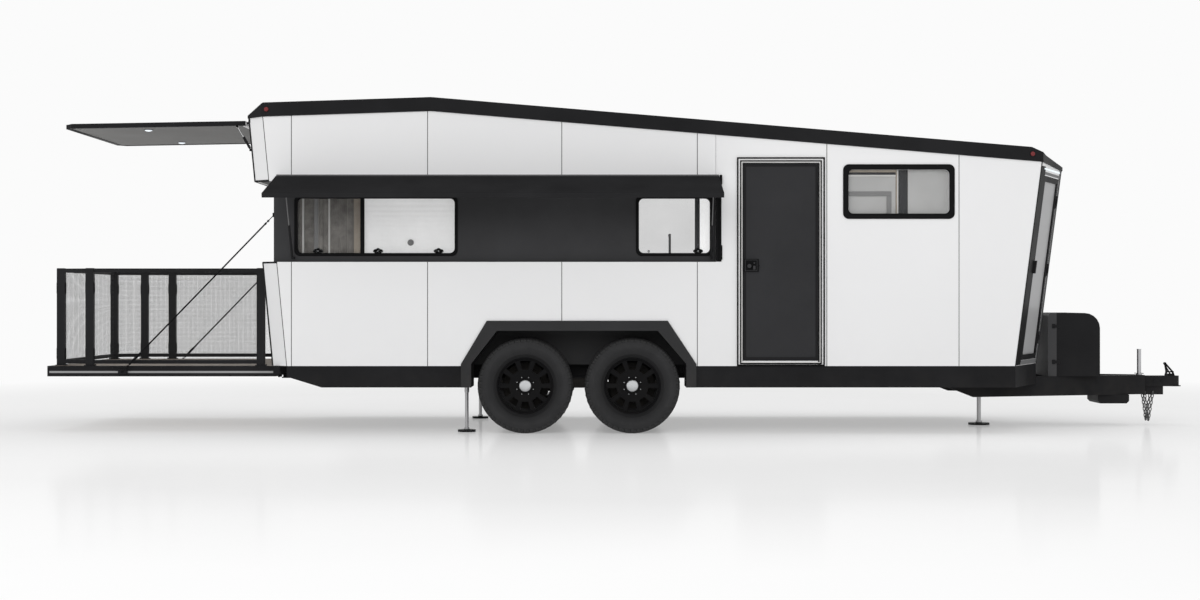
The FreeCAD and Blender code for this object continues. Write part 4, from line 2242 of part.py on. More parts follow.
def make_stays():
    """Two taut stay cables from the rear wall to the deck, with their lugs."""
    stays, lugs = [], []
    for side in (NEAR, FAR):
        name = side_name(side)
        y = S.stay_y * side
        head = (S.stay_head_x, y, S.stay_head_z)
        foot = (S.stay_deck_x, y, S.stay_deck_z)
        stays.append(bar_between(f"stay_{name}", S.stay_radius, head, foot))
        lug = S.stay_lug
        low_y, high_y = span_y(side, S.deck_half, S.stay_y - S.stay_radius - S.pin_clearance)
        lugs.append(
            box(
                f"stay_deck_lug_{name}",
                (S.stay_deck_x - lug, low_y, S.stay_deck_z - lug / 2),
                (S.stay_deck_x + lug, high_y, S.stay_deck_z + lug / 2),
            )
        )
        low_y, high_y = span_y(side, S.stay_y + S.stay_radius + S.pin_clearance, S.stay_y + lug / 2)
        lugs.append(
            box(
                f"stay_wall_lug_{name}",
                (S.stay_head_x - lug / 4, low_y, S.stay_head_z - lug / 2),
                (S.band_rear_x, high_y, S.stay_head_z + lug / 2),
            )
        )
    keep(grouped("stay_cables", stays))
    gather("strut_brackets", lugs)


# Lights and cabin

def make_lights():
    """Marker lights on the roof's edge and light strips over the corner doors."""
    markers, strips = [], []
    wide = HALF + S.roof_overhang
    for side in (NEAR, FAR):
        name = side_name(side)
        low_y, high_y = span_y(side, wide, wide + S.marker_proud)
        for number, x in enumerate((S.marker_rear_x, S.marker_front_x), start=1):
            if number == 1:
                z = S.rear_eave_z + ROOF_RISE * (x - S.rear_eave_x) + S.roof_thick / 2
            else:
                z = eave_z(x) + S.roof_thick / 2
            markers.append(
                rod(f"marker_{name}_{number}", S.marker_radius, S.marker_proud, (x, low_y, z), (0, 1, 0))
            )
        levels = (S.strip_light_z, S.strip_light_z + S.strip_light_height)
        start = S.corner_door_start
        run = (start - S.strip_light_inset, start + S.corner_door_width)
        depth = (-S.strip_proud, size(0))
        strips.append(facet_prism(f"strip_light_{name}", side, run, depth, levels))
    keep(grouped("marker_lights", markers))
    gather("light_strips", strips)


def make_cabin():
    """Furniture that shows through the windows."""
    floor = S.floor_top_z
    inner = HALF - S.band_recess - S.wall_thick - S.seam_gap
    back = -inner + S.counter_depth
    well = -S.well_inner + S.liner_thick + S.seam_gap * 3
    over_well = S.arch_top_z + S.overrun
    counter = prism(
        "galley_counter",
        "YZ",
        S.counter_rear_x,
        S.counter_front_x,
        [
            (-inner, over_well),
            (well, over_well),
            (well, floor),
            (back, floor),
            (back, S.counter_z),
            (-inner, S.counter_z),
        ],
    )
    gather("cabin_furniture", [counter])
    tap = (S.tap_x, -inner + S.counter_depth / 4, S.counter_z)
    stem = rod("tap_stem", S.tap_radius, S.tap_height, tap)
    spout = rod(
        "tap_spout",
        S.tap_radius,
        S.tap_reach,
        (tap[0], tap[1] - S.tap_radius, tap[2] + S.tap_height - S.tap_radius),
        (0, 1, 0),
    )
    base = rod("tap_base", S.tap_radius * 2, S.tap_radius, tap)
    keep(joined("galley_tap", [stem, spout, base]))
    low = (S.wardrobe_rear_x, -inner, floor)
    high = (S.wardrobe_rear_x + S.wardrobe_length, -inner + S.wardrobe_depth, S.wardrobe_top_z)
    wardrobe = box("wardrobe_block", low, high)
    slots = []
    pitch = S.wardrobe_length / WARDROBE_SLATS
    for number in range(1, WARDROBE_SLATS):
        x = S.wardrobe_rear_x + pitch * number
        slots.append(
            box(
                f"wardrobe_slot_{number}",
                (x - S.overrun / 2, -inner - S.overrun, floor - S.overrun),
                (x + S.overrun / 2, -inner + S.overrun, S.wardrobe_top_z + S.overrun),
            )
        )
    gather("cabin_furniture", [cut("wardrobe", wardrobe, slots)])
    x = S.partition_x
    side = HALF - S.wall_thick - S.seam_gap
    door = S.partition_door / 2
    head = S.partition_head_z
    top = eave_z(x + S.partition_thick) - S.seam_gap
    outline = [
        (-side, floor),
        (-door, floor),
        (-door, head),
        (door, head),
        (door, floor),
        (side, floor),
        (side, top),
        (-side, top),
    ]
    gather("cabin_furniture", [prism("cabin_partition", "YZ", x, x + S.partition_thick, outline)])


def check_document():
    """Stop if an object failed or a piece has no valid shape."""
    for thing in DOC.Objects:
        if "Invalid" in thing.State or "Error" in thing.State:
            raise RuntimeError(f"{thing.Label} failed: {thing.State}")
    for piece in PIECES:
        if piece.Shape.isNull() or not piece.Shape.isValid():
            raise RuntimeError(f"{piece.Label} has no valid shape")


def write_pieces():
    os.makedirs("parts", exist_ok=True)
    for piece in PIECES:
        piece.Shape.exportStep(f"parts/{piece.Label}.step")
        solids = len(piece.Shape.Solids)
        print(f"{piece.Label}: {solids} solids, {piece.Shape.Volume / 1e6:.1f} litres")


def main():
    for side in (NEAR, FAR):
        make_side_wall(side)
        make_band_side(side)
        make_windows(side)
        make_wheel_arch(side)
        for axle in (0, 1):
            make_wheel(axle, side)
    make_rear_wall()
    make_corner_doors(make_front_wall())
    make_roof()
    make_band_rear()
    make_rear_door()
    make_entry_door()
    make_awning()
    make_hatch()
    make_chassis()
    make_skirts()
    make_floor()
    make_axles()
    make_springs()
    make_tongue()
    make_coupler()
    make_tongue_jack()
    make_stands()
    make_tongue_boxes()
    make_chains()
    make_deck()
    make_guard()
    make_stays()
    make_lights()
    make_cabin()
    keep_shared()
    DOC.recompute()
    check_document()
    write_pieces()
    print(f"{len(PIECES)} pieces")


main()
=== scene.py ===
import json
import math

import bmesh
import bpy
from bpy.props import FloatProperty, FloatVectorProperty, IntProperty, PointerProperty
from mathutils import Matrix, Vector


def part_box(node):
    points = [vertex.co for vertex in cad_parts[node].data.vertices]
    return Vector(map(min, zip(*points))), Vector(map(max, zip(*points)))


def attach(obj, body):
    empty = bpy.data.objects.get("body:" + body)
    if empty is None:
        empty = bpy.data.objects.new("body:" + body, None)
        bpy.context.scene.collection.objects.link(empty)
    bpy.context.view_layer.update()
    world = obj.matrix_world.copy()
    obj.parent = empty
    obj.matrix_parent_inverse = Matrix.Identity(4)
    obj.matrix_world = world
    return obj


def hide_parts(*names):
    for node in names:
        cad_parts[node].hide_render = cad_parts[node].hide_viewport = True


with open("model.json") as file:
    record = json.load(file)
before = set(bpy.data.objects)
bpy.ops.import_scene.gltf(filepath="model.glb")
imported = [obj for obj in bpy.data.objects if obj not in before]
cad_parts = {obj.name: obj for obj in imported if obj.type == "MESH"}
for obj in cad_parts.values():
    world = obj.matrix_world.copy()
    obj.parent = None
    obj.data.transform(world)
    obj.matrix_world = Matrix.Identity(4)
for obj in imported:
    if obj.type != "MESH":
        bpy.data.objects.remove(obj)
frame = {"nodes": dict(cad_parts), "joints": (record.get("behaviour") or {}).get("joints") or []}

bl_info = {
    "name": "Travel trailer looks",
    "version": (1, 0, 0),
    "blender": (4, 5, 0),
    "location": "3D View > Sidebar > Trailer",
    "description": "Finishes and small pieces for a large travel trailer with a rear deck",
    "category": "Object",
}

NODES = frame["nodes"]
JOINTS = {joint["name"]: joint for joint in frame["joints"]}
WHEELS = [joint for name, joint in JOINTS.items() if name.startswith("wheel_")]
NEAR, FAR = -1, 1
SIDES = (NEAR, FAR)
Y_AXIS, Z_AXIS = Vector((0, 1, 0)), Vector((0, 0, 1))


def length_property(name, description, default, low, high):
    return FloatProperty(
        name=name, description=description, default=default, min=low, max=high,
        subtype="DISTANCE", unit="LENGTH",
    )


def colour_property(name, description, default):
    return FloatVectorProperty(
        name=name, description=description, default=default, size=3, min=0, max=1,
        subtype="COLOR",
    )


class TrailerSizes(bpy.types.PropertyGroup):
    """Sizes of the small pieces."""

    tread_depth: length_property(
        "Tread depth", "Height of the tyre's tread blocks", 0.011, 0.002, 0.03
    )
    tread_pitches: IntProperty(
        name="Tread pitches", description="Tread blocks round a tyre", default=46, min=20, max=80,
    )
    wire_pitch: length_property("Wire pitch", "Spacing of the guard's wires", 0.0052, 0.002, 0.1)
    wire_width: length_property(
        "Wire width", "Thickness of the guard's wires", 0.00085, 0.0005, 0.01
    )
    link_wire: length_property("Chain wire", "Radius of a chain link's wire", 0.0048, 0.002, 0.01)
    seal_width: length_property(
        "Panel seal", "Width of the dark seal between wall panels", 0.006, 0.002, 0.02
    )


class TrailerColours(bpy.types.PropertyGroup):
    """Colours of the main finishes."""

    wall: colour_property("Wall panels", "Composite wall panels", (0.785, 0.785, 0.79))
    trim: colour_property("Dark trim", "Roof edge and trims", (0.016, 0.016, 0.017))
    band: colour_property(
        "Window band", "Recessed panels of the window band", (0.044, 0.044, 0.046)
    )
    deck: colour_property("Deck boards", "Boards of the rear deck", (0.34, 0.29, 0.245))


# Nodes

def set_inputs(tree, node, inputs):
    """Give a node's inputs a value each, or a link from another node's output."""
    for label, value in inputs.items():
        socket = node.inputs[label]
        if isinstance(value, bpy.types.NodeSocket):
            tree.links.new(value, socket)
        elif socket.type == "RGBA":
            socket.default_value = (*value[:3], 1)
        else:
            socket.default_value = value


def add_node(tree, kind, inputs=None, **settings):
    node = tree.nodes.new(f"ShaderNode{kind}")
    for label, value in settings.items():
        setattr(node, label, value)
    set_inputs(tree, node, inputs or {})
    return node


def maths(tree, operation, *values, clamp=False):
    node = add_node(tree, "Math", dict(enumerate(values)), operation=operation, use_clamp=clamp)
    return node.outputs[0]


def vector_maths(tree, operation, *values, output="Vector"):
    return add_node(
        tree, "VectorMath", dict(enumerate(values)), operation=operation
    ).outputs[output]


def object_place(tree):
    return add_node(tree, "TexCoord").outputs["Object"]


def object_axis(tree, axis):
    return add_node(tree, "SeparateXYZ", {0: object_place(tree)}).outputs[axis]


def spread(tree, value, low, high, from_low=0.3, from_high=0.7):
    """Map a value from one range to another, by default the middle of a noise."""
    return add_node(tree, "MapRange", {
        "Value": value, "From Min": from_low, "From Max": from_high, "To Min": low, "To Max": high,
    }).outputs[0]


def mix_colour(tree, mask, first, second):
    """The first colour where the mask is zero and the second where it is one."""
    mix = add_node(tree, "Mix", {"Factor": mask, "A": first, "B": second}, data_type="RGBA")
    return mix.outputs["Result"]


def tones(tree, noise, dark, light):
    """Two tones of a colour, mixed by a noise."""
    return mix_colour(tree, spread(tree, noise, 0, 1), dark, light)


def scaled(colour, factor):
    return [min(1, part * factor) for part in colour]


def bump(tree, shader, height, strength, distance):
    relief = add_node(tree, "Bump", {"Strength": strength, "Distance": distance, "Height": height})
    set_inputs(tree, shader, {"Normal": relief.outputs[0]})


def above(tree, height):
    """A mask that is one over a height and zero under it."""
    return maths(tree, "GREATER_THAN", object_axis(tree, "Z"), height)


def near_line(tree, point, way, reach):
    """A mask that is one within a reach of the line through a point."""
    arm = vector_maths(tree, "SUBTRACT", object_place(tree), point)
    square = vector_maths(tree, "CROSS_PRODUCT", arm, Vector(way).normalized())
    return maths(tree, "LESS_THAN", vector_maths(tree, "LENGTH", square, output="Value"), reach)


def axle_distance(tree):
    """How far a point of a wheel is from the nearer axle's line."""
    rear, front = sorted({round(joint["pos_m"][0], 4) for joint in WHEELS})
    parts = add_node(tree, "SeparateXYZ", {0: object_place(tree)})
    from_middle = maths(tree, "SUBTRACT", parts.outputs["X"], (rear + front) / 2)
    along = maths(tree, "SUBTRACT", maths(tree, "ABSOLUTE", from_middle), (front - rear) / 2)
    lift = maths(tree, "SUBTRACT", parts.outputs["Z"], WHEELS[0]["pos_m"][2])
    flat = add_node(tree, "CombineXYZ", {"X": along, "Z": lift})
    return vector_maths(tree, "LENGTH", flat.outputs[0], output="Value")


def new_group(name, inputs, outputs):
    """A node group with number or vector inputs and number outputs."""
    group = bpy.data.node_groups.new(name, "ShaderNodeTree")
    for label, value in inputs.items():
        kind = "NodeSocketVector" if isinstance(value, tuple) else "NodeSocketFloat"
        socket = group.interface.new_socket(name=label, in_out="INPUT", socket_type=kind)
        socket.default_value = value
    for label in outputs:
        group.interface.new_socket(name=label, in_out="OUTPUT", socket_type="NodeSocketFloat")
    return group, group.nodes.new("NodeGroupInput"), group.nodes.new("NodeGroupOutput")


def grain_group():
    """Large soft variation and fine grain over a surface."""
    group, entry, out = new_group(
        "Surface grain",
        {"Patch scale": 1.5, "Grain scale": 300.0, "Stretch": (1.0, 1.0, 1.0)},
        ("Patches", "Grain"),
    )
    place = object_place(group)
    patches = add_node(group, "TexNoise", {
        "Vector": place, "Scale": entry.outputs["Patch scale"], "Detail": 4, "Roughness": 0.6,
    })
    fine = add_node(group, "TexNoise", {
        "Vector": vector_maths(group, "MULTIPLY", place, entry.outputs["Stretch"]),
        "Scale": entry.outputs["Grain scale"], "Detail": 2,
    })
    set_inputs(group, out, {"Patches": patches.outputs["Fac"], "Grain": fine.outputs["Fac"]})
    return group


DUST = (0.23, 0.20, 0.165)
DUST_FOOT = -0.44


def dust_group():
    """Road dust that gathers low down."""
    group, entry, out = new_group("Road dust", {"Top": 0.4, "Amount": 0.5}, ("Dust",))
    low = add_node(
        group, "MapRange",
        {
            "Value": object_axis(group, "Z"), "From Min": DUST_FOOT,
            "From Max": entry.outputs["Top"], "To Min": 1, "To Max": 0,
        },
        interpolation_type="SMOOTHSTEP",
    )
    speck = add_node(group, "TexNoise", {"Vector": object_place(group), "Scale": 7, "Detail": 6})
    specks = spread(group, speck.outputs["Fac"], 0, 1, 0.35, 0.75)
    dust = maths(group, "MULTIPLY", low.outputs[0], specks)
    dust = maths(group, "MULTIPLY", dust, entry.outputs["Amount"], clamp=True)
    set_inputs(group, out, {"Dust": dust})
    return group


GROUPS = {}


def add_group(tree, maker, inputs):
    """A node of a shared group, which is made when it is first asked for."""
    if maker not in GROUPS:
        GROUPS[maker] = maker()
    return add_node(tree, "Group", inputs, node_tree=GROUPS[maker])


# Materials

SOFT_BLACK = (0.012, 0.012, 0.013)
GRAIN_DEPTH = 0.0003


def blank_material(name):
    material = bpy.data.materials.new(name)
    material.use_nodes = True
    tree = material.node_tree
    tree.nodes.clear()
    shader = add_node(tree, "BsdfPrincipled")
    add_node(tree, "OutputMaterial", {"Surface": shader.outputs[0]})
    return material, tree, shader


def grained(name, **scales):
    """A blank material, and the patches and the grain of its surface."""
    material, tree, shader = blank_material(name)
    inputs = {label.capitalize().replace("_", " "): value for label, value in scales.items()}
    texture = add_group(tree, grain_group, inputs)
    return material, tree, shader, texture.outputs["Patches"], texture.outputs["Grain"]


def finish(
    name, colour, rough, metallic=0.0, coat=0.0, patches=1.5, vary=0.06, grain=300.0, relief=0.15,
    stretch=(1, 1, 1), dust=0.0, dust_top=0.5, specular=0.08, overlay=None,
):
    """Painted, moulded or metal surface with soft variation, fine grain and road dust."""
    material, tree, shader, patch, fine = grained(
        name, patch_scale=patches, grain_scale=grain, stretch=stretch
    )
    shade = tones(tree, patch, scaled(colour, 1 - vary), scaled(colour, 1 + vary))
    roughness = spread(tree, patch, rough * 0.88, min(1, rough * 1.12))
    if dust:
        layer = add_group(tree, dust_group, {"Top": dust_top, "Amount": dust}).outputs["Dust"]
        shade = mix_colour(tree, layer, shade, DUST)
        blend = add_node(tree, "Mix", {"Factor": layer, "A": roughness, "B": 0.9})
        roughness = blend.outputs["Result"]
    if overlay:
        shade = overlay(tree, shade)
    set_inputs(tree, shader, {
        "Base Color": shade, "Roughness": roughness, "Metallic": metallic, "Coat Weight": coat,
        "Specular IOR Level": specular,
    })
    bump(tree, shader, fine, relief, GRAIN_DEPTH)
    return material


def pane(name, colour, rough, clear):
    """Tinted pane: a glossy sheet that lets part of the light straight through."""
    material, tree, shader, patch, fine = grained(name, patch_scale=2, grain_scale=8)
    set_inputs(tree, shader, {
        "Base Color": tones(tree, patch, colour, scaled(colour, 1.15)),
        "Roughness": spread(tree, patch, rough, rough * 1.6),
        "Alpha": spread(tree, patch, 1 - clear, 1 - clear * 0.96),
        "Specular IOR Level": 0.3,
    })
    bump(tree, shader, fine, 0.04, 0.002)
    return material


LEG_FOOT_TOP = -0.415


def leg_metal(name):
    """Zinc coated legs on black feet."""
    material, tree, shader, patch, fine = grained(name)
    mask = above(tree, LEG_FOOT_TOP)
    zinc = tones(tree, patch, (0.42, 0.42, 0.425), (0.52, 0.52, 0.525))
    set_inputs(tree, shader, {
        "Base Color": mix_colour(tree, mask, SOFT_BLACK, zinc), "Metallic": mask,
        "Roughness": spread(tree, patch, 0.32, 0.42), "Specular IOR Level": 0.08,
    })
    bump(tree, shader, fine, 0.1, GRAIN_DEPTH)
    return material


HINGE_REACHES = {
    "entry_door_hinge": 0.0125, "corner_door_near_hinge": 0.0125,
    "corner_door_far_hinge": 0.0125, "rear_hatch_hinge": 0.062,
}
ENTRY_LEAF_TOP = 2.076
HATCH_RAIL_FOOT = 2.25
HATCH_EYE, HATCH_EYE_REACH = (-9.1655, 0, 2.4503), 0.019


def black_collars(tree, shade):
    """Black hinge collars and rails on the walls."""
    for label, reach in HINGE_REACHES.items():
        joint = JOINTS[label]
        mask = near_line(tree, joint["pos_m"], joint["axis"], reach)
        black = SOFT_BLACK
        if label == "entry_door_hinge":
            black = mix_colour(tree, above(tree, ENTRY_LEAF_TOP), SOFT_BLACK, shade)
        shade = mix_colour(tree, mask, shade, black)
    return shade


def black_hatch_rail(tree, shade):
    """The hatch's rail is black, where the awning's is grey."""
    return mix_colour(tree, above(tree, HATCH_RAIL_FOOT), shade, SOFT_BLACK)


def black_eyes(tree, shade):
    """Black end fittings on bright strut rods."""
    mask = near_line(tree, HATCH_EYE, Y_AXIS, HATCH_EYE_REACH)
    return mix_colour(tree, mask, shade, (0.01, 0.01, 0.01))


# Distances from the axle over which the painted shade at the bead and at the tread fades in.
BEAD_SHADE_FADE, TREAD_SHADE_FADE = (0.268, 0.365), (0.392, 0.425)


def tyre_rubber(name):
    """Rubber with painted light: the side walls paler as a painted sheen, the bead and the tread
    darker as painted shade.
    """
    material, tree, shader, patch, fine = grained(name, patch_scale=6, grain_scale=500)
    reach = axle_distance(tree)
    shade = tones(tree, patch, (0.017, 0.017, 0.018), (0.029, 0.029, 0.030))
    # Painted shade at the bead and at the tread, which leaves the side wall paler as a painted
    # sheen.
    shade = mix_colour(tree, spread(tree, reach, 1, 0, *BEAD_SHADE_FADE), shade, (0.007, 0.007, 0.0075))
    shade = mix_colour(tree, spread(tree, reach, 0, 1, *TREAD_SHADE_FADE), shade, (0.024, 0.024, 0.0245))
    set_inputs(tree, shader, {
        "Base Color": shade, "Roughness": spread(tree, patch, 0.46, 0.60),
        "Specular IOR Level": 0.22,
    })
    bump(tree, shader, fine, 0.35, 0.0006)
    return material


def glow(name, colour, power, base, lit_above=None):
    """Lens of a lamp, or cloth with a painted glow that stands in for daylight behind it, all of it
    or the part over a height.
    """
    material, tree, shader, patch, fine = grained(name, grain_scale=220)
    lit = tones(tree, fine, scaled(colour, 0.8), colour)
    if lit_above is not None:
        lit = mix_colour(tree, above(tree, lit_above), (0, 0, 0), lit)
    set_inputs(tree, shader, {
        "Emission Color": lit, "Emission Strength": power, "Roughness": 0.2,
        "Base Color": tones(tree, patch, scaled(base, 0.85), base),
    })
    bump(tree, shader, fine, 0.2, 0.0005)
    return material


BOARD_COUNT = 14


def boards(name, colour):
    """Oiled boards that run along the trailer, each with its own tone and grain."""
    material, tree, shader = blank_material(name)
    low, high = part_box("deck_boards")
    across = maths(tree, "SUBTRACT", object_axis(tree, "Y"), low.y)
    board = maths(tree, "FLOOR", maths(tree, "DIVIDE", across, (high.y - low.y) / BOARD_COUNT))
    tone = add_node(tree, "TexWhiteNoise", {"W": board}, noise_dimensions="1D").outputs["Value"]
    streak = add_node(tree, "Mapping", {"Vector": object_place(tree), "Scale": (0.35, 9, 9)})
    fibre = add_node(tree, "TexNoise", {
        "Vector": streak.outputs[0], "Scale": 14, "Detail": 8, "Distortion": 0.6,
    }).outputs["Fac"]
    grain = tones(tree, fibre, scaled(colour, 0.55), scaled(colour, 1.5))
    set_inputs(tree, shader, {
        "Base Color": mix_colour(tree, spread(tree, tone, 0, 0.45, 0, 1), grain, colour),
        "Roughness": spread(tree, fibre, 0.5, 0.8),
    })
    bump(tree, shader, fibre, 0.35, 0.0012)
    return material


def slats(name, colour):
    """Wall lining and furniture fronts with upright slats."""
    material, tree, shader = blank_material(name)
    wave = add_node(
        tree, "TexWave",
        {"Vector": object_place(tree), "Scale": 3.4, "Distortion": 0.4, "Detail": 1},
        wave_type="BANDS", bands_direction="X",
    ).outputs["Fac"]
    shade = tones(tree, wave, scaled(colour, 0.62), colour)
    set_inputs(tree, shader, {"Base Color": shade, "Roughness": 0.55})
    bump(tree, shader, wave, 0.3, 0.003)
    return material


WALL_LOOK = dict(
    coat=0.04, patches=0.6, vary=0.012, grain=60, relief=0.02, dust=0.05, dust_top=0.7,
    specular=0.3,
)
GRAINED_BOARD = dict(patches=9, grain=90, stretch=(6, 1, 0.2))

# Each finish has a colour, or the name of one in the panel, a roughness and what else differs.
FINISHES = {
    "wall_panel": ("wall", 0.4, WALL_LOOK),
    "hung_wall": ("wall", 0.4, dict(WALL_LOOK, overlay=black_collars)),
    "black_trim": ("trim", 0.5, dict(
        patches=2, vary=0.15, grain=900, relief=0.1, dust=0.02, dust_top=0.8, specular=0.04,
    )),
    "dark_panel": ("band", 0.5, dict(patches=2, vary=0.1, grain=700, relief=0.2)),
    "strut_steel": ((0.55, 0.55, 0.555), 0.25, dict(
        metallic=1.0, grain=700, relief=0.05, overlay=black_eyes,
    )),
    "rail_trim": ((0.11, 0.11, 0.112), 0.5, dict(
        grain=900, relief=0.1, specular=0.1, overlay=black_hatch_rail,
    )),
    "awning_skin": ((0.021, 0.021, 0.022), 0.6, dict(
        patches=2, vary=0.12, grain=900, relief=0.1, specular=0.0,
    )),
    "arch_paint": ((0.032, 0.032, 0.033), 0.5, dict(vary=0.12, grain=700, relief=0.2, dust=0.06)),
    "door_frame": ((0.014, 0.014, 0.015), 0.5, dict(vary=0.08, grain=800)),
    "door_panel": ((0.030, 0.030, 0.032), 0.45, dict(vary=0.1, grain=800)),
    "dark_metal": ((0.014, 0.014, 0.015), 0.42, dict(grain=1200)),
    "frosted_panel": ((0.40, 0.40, 0.405), 0.42, dict(
        coat=0.1, patches=1, vary=0.05, grain=500, relief=0.08,
    )),
    "bright_steel": ((0.5, 0.5, 0.51), 0.3, dict(
        metallic=1.0, grain=500, relief=0.08, stretch=(1, 1, 0.05),
    )),
    "grey_lining": ((0.205, 0.203, 0.198), 0.55, dict(vary=0.06, grain=500)),
    "chassis_paint": ((0.013, 0.013, 0.014), 0.5, dict(
        vary=0.25, grain=450, relief=0.25, dust=0.08, dust_top=0.25,
    )),
    "spring_steel": ((0.03, 0.029, 0.028), 0.6, dict(
        metallic=0.3, grain=300, relief=0.3, dust=0.2,
    )),
    "box_trim": ((0.055, 0.055, 0.057), 0.45, dict(grain=700, dust=0.05)),
    "chain_steel": ((0.10, 0.10, 0.10), 0.42, dict(metallic=0.8, grain=600)),
    "guard_paint": ((0.016, 0.016, 0.017), 0.42, dict(vary=0.2, grain=900)),
    "mesh_metal": ((0.03, 0.03, 0.031), 0.5, dict(grain=900)),
    "plank_grey": ((0.205, 0.195, 0.182), 0.6, dict(GRAINED_BOARD, vary=0.35)),
    "rail_beige": ((0.40, 0.355, 0.30), 0.6, dict(GRAINED_BOARD, vary=0.12)),
    "strip_pale": ((0.66, 0.655, 0.64), 0.5, dict(vary=0.05, grain=400)),
    "cupboard_pale": ((0.50, 0.50, 0.495), 0.5, dict(vary=0.05, grain=400)),
    "cupboard_mid": ((0.25, 0.25, 0.25), 0.5, dict(vary=0.08, grain=400)),
    "post_dark": ((0.055, 0.056, 0.058), 0.5, dict(vary=0.1, grain=400)),
    "blind_cloth": ((0.72, 0.72, 0.715), 0.85, dict(vary=0.02, grain=1500)),
    "rim_black": ((0.005, 0.005, 0.0055), 0.35, dict(grain=900, dust=0.02, specular=0.06)),
    "machined": ((0.58, 0.59, 0.6), 0.28, dict(metallic=1.0, grain=700, relief=0.08)),
    "seal_rubber": ((0.007, 0.007, 0.007), 0.7, dict(vary=0.2, grain=900, specular=0.03)),
    "frame_black": ((0.007, 0.007, 0.0075), 0.5, dict(vary=0.15, grain=900, specular=0.05)),
    "header_grey": ((0.16, 0.16, 0.163), 0.5, dict(vary=0.05, grain=700)),
    "drum_iron": ((0.02, 0.019, 0.018), 0.7, dict(metallic=0.2, grain=200, dust=0.1)),
    "cable_wire": ((0.01, 0.01, 0.0105), 0.5, dict(grain=900, relief=0.6)),
}
SPECIAL = {
    "window_glass": (pane, (0.035, 0.037, 0.04), 0.05, 0.95),
    "leg_metal": (leg_metal,),
    "tyre_rubber": (tyre_rubber,),
    "deck_wood": (boards, "deck"),
    "floor_board": (slats, (0.14, 0.12, 0.10)),
    "furniture": (slats, (0.36, 0.34, 0.315)),
    "light_lens": (glow, (0.80, 0.86, 0.92), 0.9, (0.62, 0.65, 0.7)),
    "strip_lens": (glow, (0.72, 0.84, 0.90), 0.8, (0.30, 0.30, 0.303), 1),
    "red_lens": (glow, (0.34, 0.010, 0.018), 0.12, (0.12, 0.005, 0.007)),
    # These two cloths are no lamps: their glow is painted daylight.
    "roller_cloth": (glow, (1.0, 1.0, 1.0), 0.47, (0.6, 0.6, 0.6)),
    "daylight_cloth": (glow, (1.0, 1.0, 1.0), 0.78, (0.6, 0.6, 0.6)),
}
MATERIALS = {}


def paint(name):
    """A finish of the trailer, made when it is first asked for."""
    if name not in MATERIALS:
        maker, *values = SPECIAL.get(name) or (finish, *FINISHES[name][:2])
        options = FINISHES[name][2] if name in FINISHES else {}
        colours = bpy.context.scene.trailer_colours
        values = [getattr(colours, item) if isinstance(item, str) else item for item in values]
        MATERIALS[name] = maker(name, *values, **options)
    return MATERIALS[name]


# Meshes

def turn_to(way):
    """The turn that takes the Z axis to a direction."""
    return Z_AXIS.rotation_difference(Vector(way)).to_matrix().to_4x4()


def add_block(bm, place, bevel=0.0, segments=2):
    """A unit cube put in its place by a matrix, with bevelled edges if asked."""
    made = bmesh.ops.create_cube(bm, size=1, matrix=place)
    if bevel:
        edges = list({edge for vert in made["verts"] for edge in vert.link_edges})
        made = bmesh.ops.bevel(
            bm, geom=edges, offset=bevel, segments=segments, profile=0.5, material=-1,
            affect="EDGES",
        )
    return made["verts"]


def add_box(bm, low, high, bevel=0.0, turn=Matrix.Identity(4)):
    """A block between two corners, turned about its middle if asked."""
    low, high = Vector(low), Vector(high)
    middle = Matrix.Translation((low + high) / 2)
    add_block(bm, middle @ turn @ Matrix.Diagonal((*(high - low), 1)), bevel)


def add_beam(bm, start, end, wide, high, bevel):
    """A straight bar between two points, of the given width and height."""
    way = (end - start).normalized()
    side = Z_AXIS.cross(way).normalized()
    turn = Matrix((way, side, way.cross(side))).transposed().to_4x4()
    size = Matrix.Diagonal(((end - start).length, wide, high, 1))
    add_block(bm, Matrix.Translation((start + end) / 2) @ turn @ size, bevel)


def add_rod(bm, start, end, radius, segments=16, tip=None):
    """A closed round bar between two points; tip gives another radius at its end."""
    start, end = Vector(start), Vector(end)
    way = end - start
    bmesh.ops.create_cone(
        bm, cap_ends=True, cap_tris=False, segments=segments, radius1=radius,
        radius2=radius if tip is None else tip, depth=way.length,
        matrix=Matrix.Translation((start + end) / 2) @ turn_to(way),
    )


def add_dome(bm, centre, way, radius, height, segments=20):
    """A shallow dome on a flat foot."""
    size = Matrix.Diagonal((radius, radius, height, 1))
    bmesh.ops.create_uvsphere(
        bm, u_segments=segments, v_segments=10, radius=1,
        matrix=Matrix.Translation(centre) @ turn_to(way) @ size,
    )


def as_piece(bm, name, slot, look=None, body="trailer", replaces=(), angle=35):
    """Turn a bmesh into a piece that rides on a body; its look may differ from its slot."""
    bmesh.ops.recalc_face_normals(bm, faces=bm.faces)
    mesh = bpy.data.meshes.new(name)
    bm.to_mesh(mesh)
    bm.free()
    mesh.polygons.foreach_set("use_smooth", [True] * len(mesh.polygons))
    mesh.set_sharp_from_angle(angle=math.radians(angle))
    mesh.materials.append(paint(look or slot))
    piece = bpy.data.objects.new(name, mesh)
    bpy.context.scene.collection.objects.link(piece)
    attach(piece, body)
    if replaces:
        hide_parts(*replaces)


def box_of(node):
    low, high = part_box(node)
    return Vector(low), Vector(high)


def mirrored_rods(bm, rods):
    """Round bars on the far side and their mirror images on the near side."""
    for side in SIDES:
        flip = Vector((1, side, 1))
        for start, end, radius, segments in rods:
            add_rod(bm, Vector(start) * flip, Vector(end) * flip, radius, segments)


# Wheels

TYRE_RADIUS, TYRE_HALF = 0.4445, 0.1575
RIM_FACE = TYRE_HALF - 0.05
